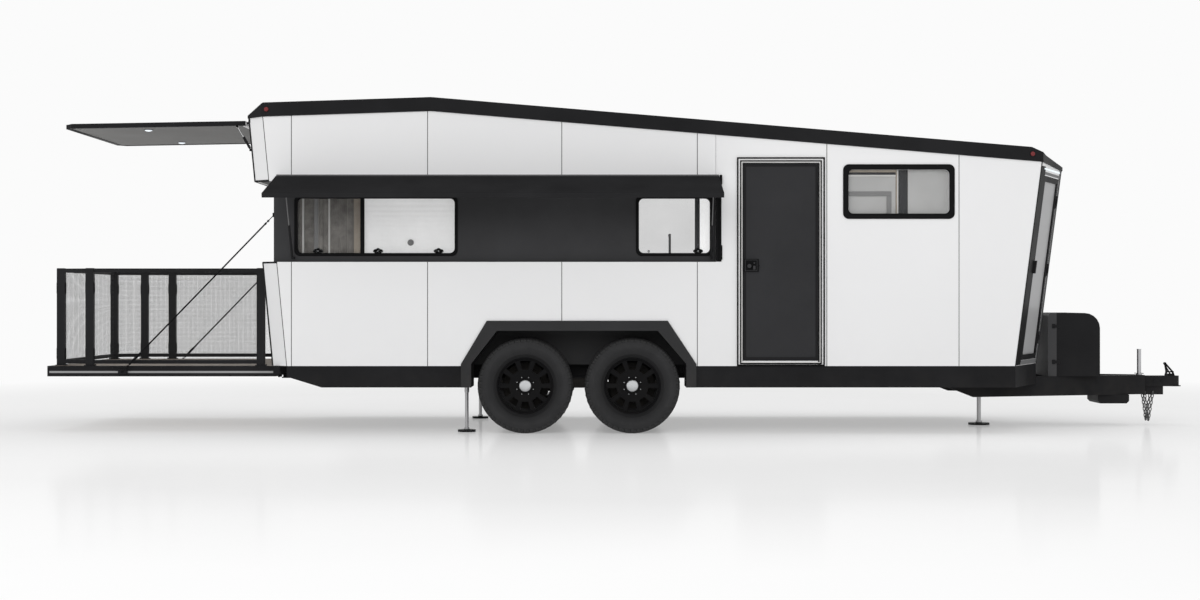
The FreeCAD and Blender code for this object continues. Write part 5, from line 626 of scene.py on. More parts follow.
# Sections are given as radius and distance outward from the wheel's middle.
TYRE_WALL = (
    (0.258, 0.112), (0.262, 0.121), (0.270, 0.1285), (0.2735, 0.1285), (0.277, 0.1325),
    (0.290, 0.139), (0.295, 0.1445), (0.300, 0.1445), (0.305, 0.1435), (0.330, 0.1505),
    (0.352, 0.1535), (0.356, 0.1548), (0.372, 0.1548), (0.376, 0.1535), (0.394, 0.152),
    (0.408, 0.148), (0.421, 0.1405),
)
CAP = [(radius, RIM_FACE + far) for radius, far in (
    (0.0, 0.026), (0.018, 0.0255), (0.036, 0.023), (0.049, 0.018), (0.0545, 0.0125),
    (0.0555, 0.0115),
)]
LIP = [(radius, RIM_FACE + far) for radius, far in (
    (0.2465, 0.002), (0.2490, 0.010), (0.2540, 0.0165), (0.2600, 0.0175), (0.2640, 0.0150),
    (0.2645, 0.0105), (0.2600, 0.0060), (0.2560, 0.0010),
)]
DRUM = (
    (0.0, -0.056), (0.215, -0.056), (0.220, -0.050), (0.215, -0.044), (0.166, -0.040),
    (0.160, -0.034), (0.160, 0.020), (0.150, 0.030), (0.148, 0.040), (0.125, 0.048), (0.0, 0.048),
)
# Low and high edge across the tyre, lean, shift and length in pitches.
TREAD_ROWS = (
    (-0.030, -0.003, 0.35, 0.0, 0.60), (0.003, 0.030, 0.35, 0.5, 0.60),
    (-0.072, -0.036, -0.30, 0.25, 0.58), (0.036, 0.072, -0.30, 0.75, 0.58),
    (-0.108, -0.078, 0.22, 0.5, 0.62), (0.078, 0.108, 0.22, 0.0, 0.62),
)
NUT_COUNT, NUT_CIRCLE, NUT_LENGTH = 8, 0.083, 0.018
MERGE = 0.00002


def wheel_frame(joint):
    """Name and centre of a wheel, and the way that its outer face looks."""
    centre = Vector(joint["pos_m"])
    name = joint["name"].removeprefix("wheel_").removesuffix("_spin")
    return name, centre, Vector((0, math.copysign(1, centre.y), 0))


def spin_profile(bm, points, centre, out, steps, loop=True, aside=Z_AXIS):
    """Spin a section, given as radius and distance outward, about the axis through the centre."""
    verts = [bm.verts.new(centre + aside * radius + out * far) for radius, far in points]
    pairs = list(zip(verts, verts[1:])) + ([(verts[-1], verts[0])] if loop else [])
    edges = [bm.edges.new(pair) for pair in pairs]
    bmesh.ops.spin(
        bm, geom=verts + edges, cent=centre, axis=out, angle=math.tau, steps=steps, use_merge=True
    )
    bmesh.ops.remove_doubles(bm, verts=bm.verts, dist=MERGE)


def copies_round(bm, made, centre, out, count):
    """Repeat the given vertices' faces round a wheel's axis."""
    geom = set(made)
    for vert in made:
        geom.update(vert.link_edges)
        geom.update(vert.link_faces)
    bmesh.ops.spin(
        bm, geom=list(geom), cent=centre, axis=out, angle=math.tau * (count - 1) / count,
        steps=count - 1, use_duplicate=True,
    )


def tread_block(bm, centre, out, low, high, base, top, long, lean=0.0, tilt=0.0, shift=0.0):
    """One tread block over the top of a wheel, from low to high across it."""
    middle = centre + out * (low + high) / 2 + Vector((shift, 0, (base + top) / 2))
    place = (
        Matrix.Translation(middle) @ Matrix.Rotation(tilt * out.y, 4, "X")
        @ Matrix.Rotation(lean, 4, "Z") @ Matrix.Diagonal((long, high - low, top - base, 1))
    )
    return add_block(bm, place, 0.0018, 1)


def make_tyre(joint, sizes):
    """Tyre with a bulging wall, rim guard, tread blocks and shoulder lugs."""
    name, centre, out = wheel_frame(joint)
    floor = TYRE_RADIUS - sizes.tread_depth
    wall = [*TYRE_WALL, (floor - 0.004, 0.128), (floor, 0.105), (floor, 0.0)]
    mirrored = [(radius, -far) for radius, far in reversed(wall[:-1])]
    bm = bmesh.new()
    spin_profile(bm, wall + mirrored, centre, out, 96)
    pitch = math.tau * TYRE_RADIUS / sizes.tread_pitches
    made = []
    for low, high, lean, shift, long in TREAD_ROWS:
        made += tread_block(
            bm, centre, out, low, high, floor - 0.006, TYRE_RADIUS - 0.0006, pitch * long, lean,
            shift=pitch * shift,
        )
    for side in SIDES:
        for shift, share, drop in ((0.0, 0.46, 0.0), (0.5, 0.40, 0.012)):
            for middle, half, base, top, tilt in (
                (0.126, 0.013, floor - 0.012, TYRE_RADIUS - 0.0035, -0.16),
                (0.1445, 0.0075, 0.399 + drop, 0.4335, -0.30),
            ):
                made += tread_block(
                    bm, centre, out, side * middle - half, side * middle + half, base, top,
                    pitch * share, tilt=tilt * side, shift=pitch * shift,
                )
    copies_round(bm, made, centre, out, sizes.tread_pitches)
    as_piece(
        bm, f"treaded_tyre_{name}", "tyre_rubber", body=joint["child"],
        replaces=(f"tyre_{name}",), angle=28,
    )


def make_wheel_fittings(joint):
    """Centre cap, nuts and rim lip of a wheel, and the brake drum behind its windows."""
    name, centre, out = wheel_frame(joint)
    body = joint["child"]
    cap, nuts, lip, drum = bmesh.new(), bmesh.new(), bmesh.new(), bmesh.new()
    spin_profile(cap, CAP, centre, out, 48, loop=False)
    spin_profile(lip, LIP, centre, out, 96)
    spin_profile(drum, DRUM, centre, out, 48, loop=False)
    for number in range(NUT_COUNT):
        turn = Matrix.Rotation(math.tau * (number + 0.5) / NUT_COUNT, 4, out)
        foot = centre + turn @ (Z_AXIS * NUT_CIRCLE) + out * (RIM_FACE - 0.006)
        tip = foot + out * NUT_LENGTH
        add_rod(nuts, foot, tip, 0.0058, 6, 0.0050)
        add_dome(nuts, tip, out, 0.0044, 0.003, 12)
    as_piece(cap, f"centre_cap_{name}", "bright_steel", "machined", body)
    as_piece(nuts, f"wheel_nuts_{name}", "bright_steel", "machined", body)
    as_piece(lip, f"rim_lip_{name}", "rim_black", body=body)
    as_piece(drum, f"brake_drum_{name}", "spring_steel", "drum_iron")


# Guard, deck and stays

END_X, TURN_X, WALL_X, MIDDLE_POST_X = -10.845, -10.548, -8.935, -10.255
END_HALF, SIDE_HALF = 0.950, 1.040
END_MESH_SPREAD = 3.5
# Foot and top of each knuckle and of the pin, from the hinge's middle, radius and segments.
KNUCKLES = (
    (-0.05, -0.019, 0.0075, 12), (-0.018, 0.018, 0.0075, 12), (0.019, 0.05, 0.0075, 12),
    (-0.055, 0.055, 0.0035, 8),
)
HINGE_HEIGHTS, HINGE_ASIDE = (0.30, 0.92), 0.0395
STAY_HEAD, STAY_FOOT = Vector((-8.793, 1.150, 1.603)), Vector((-10.218, 1.150, 0.131))
CLAMP_SHARES = (0.035, 0.052, 0.945, 0.962)


def wire(bm, middle, radius, length, turn=Matrix.Identity(4)):
    bmesh.ops.create_cone(
        bm, cap_ends=False, segments=4, radius1=radius, radius2=radius, depth=length,
        matrix=Matrix.Translation(middle) @ turn,
    )


def wire_field(bm, start, end, low, high, pitch, radius, spacing):
    """Upright and level wires over a panel between two points of the deck's plan."""
    start, end = Vector((*start, 0)), Vector((*end, 0))
    length = (end - start).length
    way = (end - start) / length
    side = Vector((-way.y, way.x, 0)) * radius * 0.8
    uprights = int(length / (pitch * spacing))
    for number in range(1, uprights):
        foot = start + way * (number * length / uprights) + side
        wire(bm, (foot.x, foot.y, (low + high) / 2), radius, high - low)
    rows = int((high - low) / pitch)
    middle = (start + end) / 2 - side
    for number in range(1, rows):
        height = low + (high - low) * number / rows
        wire(bm, (middle.x, middle.y, height), radius, length, turn_to(way))


def make_guard_wires(sizes):
    """Woven wire panels between the guard's posts and rails."""
    low, high = box_of("guard_mesh")
    runs = [((END_X, -END_HALF), (END_X, END_HALF), END_MESH_SPREAD)]
    for side in SIDES:
        turn = (TURN_X, side * SIDE_HALF)
        runs.append(((END_X, side * END_HALF), turn, 1))
        runs.append((turn, (WALL_X, side * SIDE_HALF), 1))
    bm = bmesh.new()
    for start, end, spacing in runs:
        wire_field(
            bm, start, end, low.z, high.z, sizes.wire_pitch, sizes.wire_width / 2, spacing
        )
    as_piece(bm, "guard_wires", "mesh_metal", replaces=("guard_mesh",), angle=60)


def make_guard_hardware():
    """Feet, caps and hinge knuckles of the guard's posts."""
    low, high = box_of("guard_frame")
    folding = [
        (END_X, -END_HALF), (END_X, END_HALF), (MIDDLE_POST_X, SIDE_HALF), (TURN_X, -SIDE_HALF),
        (TURN_X, SIDE_HALF),
    ]
    bm = bmesh.new()
    for x, y in (*folding, (WALL_X, -SIDE_HALF), (WALL_X, SIDE_HALF)):
        add_box(bm, (x - 0.05, y - 0.037, low.z), (x + 0.05, y + 0.037, low.z + 0.008), 0.002)
        bolt_y = y - math.copysign(0.03, y)
        for bolt_x in (x - 0.043, x + 0.043):
            add_rod(
                bm, (bolt_x, bolt_y, low.z + 0.006), (bolt_x, bolt_y, low.z + 0.015), 0.0055, 6
            )
        add_box(
            bm, (x - 0.036, y - 0.0235, high.z - 0.002), (x + 0.036, y + 0.0235, high.z + 0.0035),
            0.0025,
        )
    as_piece(bm, "guard_feet_and_caps", "guard_paint")
    bm = bmesh.new()
    for x, y in folding:
        for hinge_x in (x - HINGE_ASIDE, x + HINGE_ASIDE):
            for z in HINGE_HEIGHTS:
                for foot, top, radius, segments in KNUCKLES:
                    add_rod(bm, (hinge_x, y, z + foot), (hinge_x, y, z + top), radius, segments)
    as_piece(bm, "guard_hinges", "dark_metal")


def make_deck_hardware():
    """Sleeves, clamps, turnbuckles and eyes of the stays, and the deck's hinges and bolts."""
    run = STAY_HEAD - STAY_FOOT
    way = run.normalized()
    rods = [(STAY_FOOT + run * 0.06, STAY_FOOT + run * 0.94, 0.0072, 10)]
    for share in CLAMP_SHARES:
        clamp = STAY_FOOT + run * share
        rods.append((clamp - way * 0.009, clamp + way * 0.009, 0.0095, 8))
    rods.append((STAY_FOOT + way * 0.10, STAY_FOOT + way * 0.27, 0.0085, 12))
    rods.append((STAY_FOOT + way * 0.145, STAY_FOOT + way * 0.225, 0.0125, 12))
    for eye in (STAY_FOOT, STAY_HEAD):
        rods.append((eye - Y_AXIS * 0.012, eye + Y_AXIS * 0.012, 0.008, 10))
    bm = bmesh.new()
    mirrored_rods(bm, rods)
    as_piece(bm, "stay_fittings", "dark_metal", "frame_black")
    low, high = box_of("deck_frame")
    bm = bmesh.new()
    x, z = high.x + 0.004, low.z - 0.004
    for number in range(5):
        for start in (-0.062, -0.020, 0.022):
            y = -0.9 + 0.45 * number + start
            add_rod(bm, (x, y, z), (x, y + 0.040, z), 0.010, 12)
    z = low.z + 0.082
    mirrored_rods(bm, [
        ((x, 1.0895, z), (x, 1.0945, z), 0.007, 6)
        for x in (low.x + 0.15 + number * 0.46 for number in range(5))
    ])
    as_piece(bm, "deck_hinges_and_bolts", "dark_metal")


# Chains

CHAIN_TOPS = ((-0.300, 0.0443, -0.104), (-0.213, 0.0443, -0.104))
CHAIN_LOW = (-0.261, 0.0443, -0.398)


def make_chain_links(sizes):
    """Safety chains of real links, each hanging in a V."""
    radius = sizes.link_wire
    long, wide = radius * 9.6, radius * 6.6
    bm = bmesh.new()
    for side in SIDES:
        flip = Vector((1, side, 1))
        for top in CHAIN_TOPS:
            start = Vector(top) * flip
            run = Vector(CHAIN_LOW) * flip - start
            count = round(run.length / (long * 0.74))
            for number in range(count):
                middle = Matrix.Translation(start + run * ((number + 0.5) / count))
                quarter = Matrix.Rotation(math.radians(90 * (number % 2) + 45), 4, "Z")
                add_link(bm, middle @ turn_to(run) @ quarter, radius, long, wide)
    as_piece(bm, "chain_links", "chain_steel", replaces=("safety_chains",), angle=60)


def add_link(bm, place, radius, long, wide):
    """One oval link: a round wire spun in a full turn and drawn out along its length."""
    quarter = math.radians(90)
    ring = bmesh.ops.create_circle(
        bm, cap_ends=False, segments=8, radius=radius,
        matrix=Matrix.Translation((wide / 2 - radius, 0, 0)) @ Matrix.Rotation(quarter, 4, "X"),
    )["verts"]
    edges = list({edge for vert in ring for edge in vert.link_edges})
    before = set(bm.verts) - set(ring)
    bmesh.ops.spin(
        bm, geom=ring + edges, cent=(0, 0, 0), axis=(0, 0, 1), angle=math.tau, steps=14,
        use_merge=True,
    )
    link = [vert for vert in bm.verts if vert not in before]
    bmesh.ops.remove_doubles(bm, verts=link, dist=MERGE)
    link = [vert for vert in bm.verts if vert not in before]
    bmesh.ops.rotate(bm, verts=link, cent=(0, 0, 0), matrix=Matrix.Rotation(quarter, 3, "Y"))
    for vert in link:
        if abs(vert.co.z) > 0.00001:
            vert.co.z += math.copysign(long / 2 - wide / 2, vert.co.z)
    bmesh.ops.transform(bm, verts=link, matrix=place)


# Walls

ROOF_PEAK, FRONT_EAVE, REAR_EAVE = (-7.307, 2.563), (-1.246, 2.060), (-9.022, 2.507)
BAND_LOW, BAND_HIGH, BAND_FRONT = 1.160, 1.913, -4.656
WALL_FOOT, WALL_FACE = 0.192, 1.295
ARCH = ((-7.028, 0.211), (-6.788, 0.613), (-5.105, 0.613), (-4.839, 0.211))
SEALS_REAR, SEALS_FRONT = -8.605, -2.396
SEAL_SHARES = (0, 0.204, 0.405, 0.608, 0.802, 1)
FACET_LENGTH = 0.8857
FACET_WAY = (0.380 / FACET_LENGTH, 0.800 / FACET_LENGTH)
FRONT_FOOT_X, FRONT_LEAN = -1.871, 0.13116
COVER_FOOT, COVER_TOP, CORNER_DOORWAY = 0.196, 2.056, (0.186, 0.846)


def eave_at(x):
    """Height of the eave."""
    end = FRONT_EAVE if x > ROOF_PEAK[0] else REAR_EAVE
    share = (x - ROOF_PEAK[0]) / (end[0] - ROOF_PEAK[0])
    return ROOF_PEAK[1] + share * (end[1] - ROOF_PEAK[1])


def arch_at(x):
    """Top of the wheel arch band over a place, or the wall's foot beside it."""
    for (x0, z0), (x1, z1) in zip(ARCH, ARCH[1:]):
        if x0 <= x <= x1:
            return z0 + (z1 - z0) * (x - x0) / (x1 - x0)
    return WALL_FOOT


def wall_layer(side, inward, outward):
    """The lower and the higher Y of a layer at a side wall's face."""
    return sorted((side * (WALL_FACE - inward), side * (WALL_FACE + outward)))


def make_panel_seals(sizes):
    """Dark seals in the joints between the wall panels."""
    half = sizes.seal_width / 2
    bm = bmesh.new()
    for share in SEAL_SHARES:
        x = SEALS_REAR + (SEALS_FRONT - SEALS_REAR) * share
        top = eave_at(x) + 0.001
        spans = [(arch_at(x), BAND_LOW - 0.0005), (BAND_HIGH + 0.0005, top)]
        if x > BAND_FRONT:
            spans = [(arch_at(x), top)]
        for side in SIDES:
            y0, y1 = wall_layer(side, 0.004, 0.0009)
            for start, end in spans:
                add_box(bm, (x - half, y0, start), (x + half, y1, end), 0.0006)
    as_piece(bm, "panel_seals", "black_trim", "seal_rubber")


def make_corner_trims():
    """Black half rounds along the edges of the corner facets and of the rear."""
    face, front = WALL_FACE - 0.0005, WALL_FACE - 0.002
    sill, head = BAND_LOW - 0.004, BAND_HIGH + 0.004
    bm = bmesh.new()
    mirrored_rods(bm, (
        ((-8.649, face, WALL_FOOT), (-8.742, face, BAND_LOW), 0.0032, 8),
        ((-8.815, face, BAND_HIGH), (-8.872, face, 2.5115), 0.0032, 8),
        ((-8.799, 1.170, WALL_FOOT), (-8.892, 1.170, BAND_LOW), 0.0085, 10),
        ((-8.965, 1.170, BAND_HIGH), (-9.0225, 1.170, 2.508), 0.0085, 10),
        ((-8.742, 1.2945, sill), (-8.892, 1.170, sill), 0.0085, 10),
        ((-8.815, 1.2945, head), (-8.965, 1.170, head), 0.0085, 10),
        ((FRONT_FOOT_X, front, WALL_FOOT), (-1.622, front, 2.092), 0.006, 8),
        ((-1.491, 0.495, WALL_FOOT), (-1.246, 0.495, 2.060), 0.0065, 8),
    ))
    add_rod(bm, (-8.965, -1.170, head), (-8.965, 1.170, head), 0.0085, 10)
    as_piece(bm, "corner_trims", "black_trim")


def ring_box(bm, low, high, wide, y0, y1, bevel=0.001):
    """A rectangular ring in the plane of a side wall, inside the given corners."""
    (x0, z0), (x1, z1) = low, high
    inner_z0, inner_z1 = z0 + wide, z1 - wide
    for left, foot, right, top in (
        (x0, z0, x1, inner_z0), (x0, inner_z1, x1, z1), (x0, inner_z0, x0 + wide, inner_z1),
        (x1 - wide, inner_z0, x1, inner_z1),
    ):
        add_box(bm, (left, y0, foot), (right, y1, top), bevel)


def make_door_trims():
    """Seals and light edging of the entry door, and its lock."""
    low, high = box_of("entry_surround")
    black, light = bmesh.new(), bmesh.new()
    for bm, inset, wide in (
        (black, -0.011, 0.014), (black, 0.0175, 0.0125), (light, 0.0305, 0.007),
    ):
        ring_box(
            bm, (low.x + inset, low.z + max(inset, 0)), (high.x - inset, high.z - inset), wide,
            low.y - 0.0022, low.y + 0.004,
        )
    as_piece(black, "entry_outline", "black_trim", "seal_rubber")
    as_piece(light, "entry_edging", "light_metal", "strip_pale")
    low, high = box_of("entry_door_lock")
    mid, face = (low + high) / 2, low.y
    bm = bmesh.new()
    ring_box(
        bm, (low.x + 0.008, low.z + 0.008), (high.x - 0.020, high.z - 0.008), 0.004,
        face - 0.0015, face + 0.003,
    )
    for dx, dz, radius in ((-0.022, -0.006, 0.019), (0.024, 0.022, 0.008)):
        x, z = mid.x + dx, mid.z + dz
        add_rod(bm, (x, face + 0.002, z), (x, face - 0.004, z), radius, 24, radius * 0.9)
        add_rod(bm, (x, face - 0.003, z), (x, face - 0.0065, z), radius * 0.35, 12)
    add_box(
        bm, (mid.x + 0.012, face - 0.006, mid.z - 0.040),
        (mid.x + 0.034, face + 0.002, mid.z - 0.004), 0.003,
    )
    as_piece(bm, "entry_lock_fittings", "dark_metal", "dark_panel", "entry_door")


def facet_slab(bm, side, span, depth, heights):
    """A flat board on a front corner's facet: along it, out from it and up it."""
    along_way, out_way = FACET_WAY
    corners = []
    for z in heights:
        start_x = FRONT_FOOT_X + (z - WALL_FOOT) * FRONT_LEAN
        for along in span:
            for out in depth:
                x = start_x + along_way * along + out_way * out
                y = side * (WALL_FACE - out_way * along + along_way * out)
                corners.append(bm.verts.new((x, y, z)))
    bmesh.ops.convex_hull(bm, input=corners)


def make_corner_covers():
    """Black and grey cover boards round the corner doors."""
    black, grey = bmesh.new(), bmesh.new()
    for side in SIDES:
        for bm, span, out, heights in (
            (black, (0.003, 0.184), 0.002, (COVER_FOOT, COVER_TOP)),
            (black, (0.848, 0.858), 0.0025, (COVER_FOOT, COVER_TOP)),
            (grey, (0.859, 0.884), 0.002, (COVER_FOOT, COVER_TOP - 0.006)),
            (grey, CORNER_DOORWAY, 0.002, (1.984, 2.010)),
            (grey, CORNER_DOORWAY, 0.002, (COVER_FOOT, 0.238)),
        ):
            facet_slab(bm, side, span, (-0.001, out), heights)
    as_piece(black, "corner_covers", "black_trim", "frame_black")
    as_piece(grey, "corner_headers", "dark_panel", "header_grey")


# Windows and what shows through them

# Left, foot, right, top, width of the frame and distance of its face from the middle.
WINDOWS = (
    (-8.590, 1.217, -7.065, 1.782, 0.028, 1.224), (-5.399, 1.217, -4.680, 1.782, 0.028, 1.224),
    (-3.475, 1.560, -2.437, 2.068, 0.050, 1.304),
)
GASKET_CORNER = 0.045
LATCHES, LATCH_FACE, LATCH_HEIGHT = (-8.375, -7.813, -7.246, -4.817), 1.180, 1.264
ROUND_LATCH = (-5.279, 1.182, 1.262)
FAR_BLINDS = ((-8.575, -7.060), (-5.405, -4.540))
NEAR_BLIND = (-7.944, -7.078)
BLIND_FOOT, FAR_BLIND_TOP, NEAR_BLIND_TOP = 1.226, 1.900, 1.79
PLEAT, PLEAT_LEAN = 0.024, 0.05
PULL = (-7.508, -1.179, 1.344)
WARDROBE_BOARDS = (
    ("plank_grey", -8.598, -8.527), ("strip_pale", -8.524, -8.506), ("plank_grey", -8.503, -8.415),
    ("cupboard_mid", -8.412, -8.372), ("plank_grey", -8.369, -8.328),
    ("plank_grey", -8.325, -8.281), ("strip_pale", -8.278, -8.264),
    ("plank_grey", -8.261, -8.172), ("plank_grey", -8.169, -8.101),
    ("plank_grey", -8.098, -8.044), ("rail_beige", -8.041, -7.953),
)
# The galley's pale board glows with painted daylight.
GALLEY_BOARDS = (("post_dark", -4.846, -4.800), ("daylight_cloth", -4.798, -4.700))
# Left, foot, right and top of a part, and how far its back and its front are from the middle.
CUPBOARD_PARTS = (
    ("cupboard_pale", -3.450, 1.585, -2.978, 1.955, 1.236, 1.246),
    ("cupboard_mid", -3.450, 1.773, -3.017, 1.818, 1.246, 1.252),
    ("cupboard_mid", -3.062, 1.585, -3.017, 1.773, 1.246, 1.252),
    ("strip_pale", -3.450, 1.956, -2.978, 1.973, 1.240, 1.253),
    ("post_dark", -3.450, 1.974, -2.978, 1.996, 1.240, 1.247),
    ("rail_beige", -3.450, 1.997, -2.978, 2.040, 1.240, 1.253),
    ("rail_beige", -2.977, 1.585, -2.967, 2.040, 1.240, 1.251),
    ("strip_pale", -2.965, 1.585, -2.954, 2.040, 1.240, 1.253),
    ("post_dark", -2.951, 1.585, -2.868, 2.040, 1.240, 1.251),
    ("cupboard_pale", -2.866, 1.585, -2.460, 2.040, 1.2525, 1.2545),
)


def rounded_ring(x0, z0, x1, z1, radius, steps=6):
    """Points round a rectangle with round corners."""
    points = []
    for cx, cz, start in (
        (x1 - radius, z1 - radius, 0), (x0 + radius, z1 - radius, 90),
        (x0 + radius, z0 + radius, 180), (x1 - radius, z0 + radius, 270),
    ):
        for step in range(steps + 1):
            angle = math.radians(start + 90 * step / steps)
            points.append((cx + radius * math.cos(angle), cz + radius * math.sin(angle)))
    return points


def tube_along(bm, points, radius, segments=6):
    """Round bars end to end round a closed line of points."""
    for start, end in zip(points, points[1:] + points[:1]):
        if (end - start).length > 0.0005:
            add_rod(bm, start, end, radius, segments)


def make_window_fittings():
    """Latches and gaskets of the windows."""
    gasket, latch, knob = bmesh.new(), bmesh.new(), bmesh.new()
    for side in SIDES:
        for x0, z0, x1, z1, wide, face in WINDOWS:
            for edge in (0.006, wide - 0.0035):
                ring = rounded_ring(x0 + edge, z0 + edge, x1 - edge, z1 - edge, GASKET_CORNER)
                tube_along(gasket, [Vector((x, side * face, z)) for x, z in ring], 0.0022)
        way = Y_AXIS * side
        for x in LATCHES:
            centre = Vector((x, side * LATCH_FACE, LATCH_HEIGHT))
            place = Matrix.Translation(centre) @ Matrix.Diagonal((0.047, 0.008, 0.022, 1))
            bmesh.ops.create_uvsphere(latch, u_segments=20, v_segments=10, radius=1, matrix=place)
            low, high = Vector((0.012, 0.006, 0.012)), Vector((0.012, 0.006, 0.028))
            add_box(latch, centre - low, centre + high, 0.003)
            add_dome(knob, centre + way * 0.007, way, 0.007, 0.003, 12)
        add_dome(knob, Vector(ROUND_LATCH) * Vector((1, side, 1)), way, 0.012, 0.005, 16)
    for bm, name in ((gasket, "window_gaskets"), (latch, "window_latches")):
        as_piece(bm, name, "black_trim", "seal_rubber", angle=50)
    as_piece(knob, "window_latch_knobs", "bright_steel", "machined")


def pleats(bm, x0, x1, y0, y1, top):
    """Pleated cloth from the windows' foot to a height."""
    rows = round((top - BLIND_FOOT) / PLEAT)
    for row in range(rows):
        z = BLIND_FOOT + (top - BLIND_FOOT) * (row + 0.5) / rows
        lean = Matrix.Rotation(PLEAT_LEAN * (-1) ** row, 4, "X")
        add_box(bm, (x0, y0, z - PLEAT / 2), (x1, y1, z + PLEAT / 2), turn=lean)


def make_blinds():
    """Blinds behind the far windows and their inner side, which glows with painted daylight, a near
    blind with the same painted glow, a pull's ball.
    """
    near, cloth, lining, ball = bmesh.new(), bmesh.new(), bmesh.new(), bmesh.new()
    for x0, x1 in FAR_BLINDS:
        pleats(cloth, x0, x1, 1.1675, 1.1695, FAR_BLIND_TOP)
        add_box(lining, (x0, 1.160, BLIND_FOOT), (x1, 1.163, FAR_BLIND_TOP), 0.0005)
    pleats(near, *NEAR_BLIND, -1.157, -1.155, NEAR_BLIND_TOP)
    add_dome(ball, PULL, -Y_AXIS, 0.030, 0.0085, 24)
    as_piece(near, "near_window_blind", "furniture", "roller_cloth", angle=2)
    as_piece(cloth, "window_blinds", "furniture", "blind_cloth", angle=2)
    as_piece(lining, "window_blind_linings", "furniture", "daylight_cloth")
    as_piece(ball, "blind_pull", "furniture", "cupboard_mid")


def make_facings():
    """Boards on the wardrobe's and the cupboard's fronts, which show through the glass; one galley
    board glows with painted daylight.
    """
    parts = [(look, x0, 0.30, x1, 1.86, -1.1745, -1.1722) for look, x0, x1 in WARDROBE_BOARDS]
    parts += [(look, x0, 1.226, x1, 1.795, -1.162, -1.152) for look, x0, x1 in GALLEY_BOARDS]
    for *part, back, front in CUPBOARD_PARTS:
        parts += [(*part, -front, -back), (*part, back, front)]
    meshes = {}
    for look, x0, z0, x1, z1, y0, y1 in parts:
        if look not in meshes:
            meshes[look] = bmesh.new()
        add_box(meshes[look], (x0, y0, z0), (x1, y1, z1), 0.0006)
    for look, bm in meshes.items():
        as_piece(bm, f"facings_{look}", "furniture", look)


# Lights, awning and hatch

HATCH_SLOPE = math.tan(math.radians(1))
HATCH_HINGE = (-9.070, 2.480)
HATCH_ROOT, HATCH_END, HATCH_HALF, HATCH_CUT = -9.0895, -10.808, 0.995, 0.085
HATCH_LAMPS = (-10.08, 0.70)
MARKER_ENDS, MARKER_FACE, MARKER_LIFT = (-8.836, -1.714), 1.3125, 0.065
CHANNEL_WIDE, CHANNEL_HIGH, CHANNEL_OVERLAP = 0.050, 0.043, 0.002
HATCH_PIN, HATCH_STRUT_WAY = Vector((-9.035, 0, 2.225)), Vector((-0.498248, 0, 0.867035))
BAND_END_PLATES = (
    ((-4.658, -4.620), (1.162, 1.930), 0.0006, 0.0002),
    ((-4.6255, -4.606), (1.163, 1.945), 0.0115, 0.003),
    ((-4.6255, -4.598), (1.180, 1.315), 0.0165, 0.003),
)


def lamp_set(name, slot, ring_name, ring_slot, body, spots, radius):
    """Small round lamps, each a ring and a domed lens, at points with a direction."""
    rings, lenses = bmesh.new(), bmesh.new()
    for centre, way in spots:
        centre, way = Vector(centre), Vector(way)
        foot, top = centre - way * 0.004, centre + way * 0.004
        add_rod(rings, foot, top, radius * 1.22, 28, radius * 1.1)
        add_dome(lenses, top, way, radius, radius * 0.35, 24)
    as_piece(lenses, name, slot, body=body)
    as_piece(rings, ring_name, ring_slot, body=body)


def make_lights():
    """Red marker lamps under the roof's edge and the lamps in the hatch's lining."""
    lamp_set("marker_lenses", "red_lens", "marker_rings", "black_trim", "trailer", [
        ((x, side * MARKER_FACE, eave_at(x) + MARKER_LIFT), (0, side, 0))
        for side in SIDES for x in MARKER_ENDS
    ], 0.021)
    low = box_of("hatch_lining")[0]
    x, half = HATCH_LAMPS
    z = low.z - 0.001 + (x - low.x) * HATCH_SLOPE
    lamp_set("hatch_lamps", "light_lens", "hatch_lamp_rings", "dark_metal", "rear_hatch", [
        ((x, side * half, z), (0, 0, -1)) for side in SIDES
    ], 0.036)


def on_hatch(x, y):
    """Point in the middle of the open hatch's thickness."""
    return Vector((x, y, HATCH_HINGE[1] + (x - HATCH_HINGE[0]) * HATCH_SLOPE))


def make_hatch_edges():
    """Black channels round the hatch's three free edges, with round corners."""
    bm = bmesh.new()
    wide, high = CHANNEL_WIDE, CHANNEL_HIGH
    half = HATCH_HALF - wide / 2 + CHANNEL_OVERLAP
    end = HATCH_END + wide / 2 - CHANNEL_OVERLAP
    turn_x, turn_y = HATCH_END + HATCH_CUT, HATCH_HALF - HATCH_CUT
    inset = 0.0134
    for side in SIDES:
        root, turn = on_hatch(HATCH_ROOT, side * half), on_hatch(turn_x - 0.012, side * half)
        add_beam(bm, root, turn, wide, high, 0.002)
        turn = on_hatch(turn_x + inset, side * (HATCH_HALF - inset))
        tip = on_hatch(HATCH_END + inset, side * (turn_y - inset))
        add_beam(bm, turn, tip, 0.042, high - 0.001, 0.002)
        for x, y in ((turn_x - 0.004, half), (end, turn_y - 0.006)):
            mid = on_hatch(x, side * y)
            reach = Vector((0, 0, high / 2 - 0.0008))
            add_rod(bm, mid - reach, mid + reach, 0.0265, 24)
    tips = on_hatch(end, 0.012 - turn_y), on_hatch(end, turn_y - 0.012)
    add_beam(bm, *tips, wide, high - 0.0005, 0.002)
    as_piece(bm, "hatch_channels", "black_trim", body="rear_hatch")


def make_strut_shrouds():
    """Shrouds over the hatch struts' tubes."""
    bm = bmesh.new()
    for side in SIDES:
        foot = HATCH_PIN + Y_AXIS * side * 1.012
        for start, end, radius in ((0.080, 0.140, 0.0135), (0.028, 0.050, 0.0130)):
            section = [(0.0112, start), (radius, start), (radius, end), (0.0112, end)]
            spin_profile(bm, section, foot, HATCH_STRUT_WAY, 24, aside=Y_AXIS)
    as_piece(bm, "hatch_strut_shrouds", "dark_metal", body="hatch_cylinders")


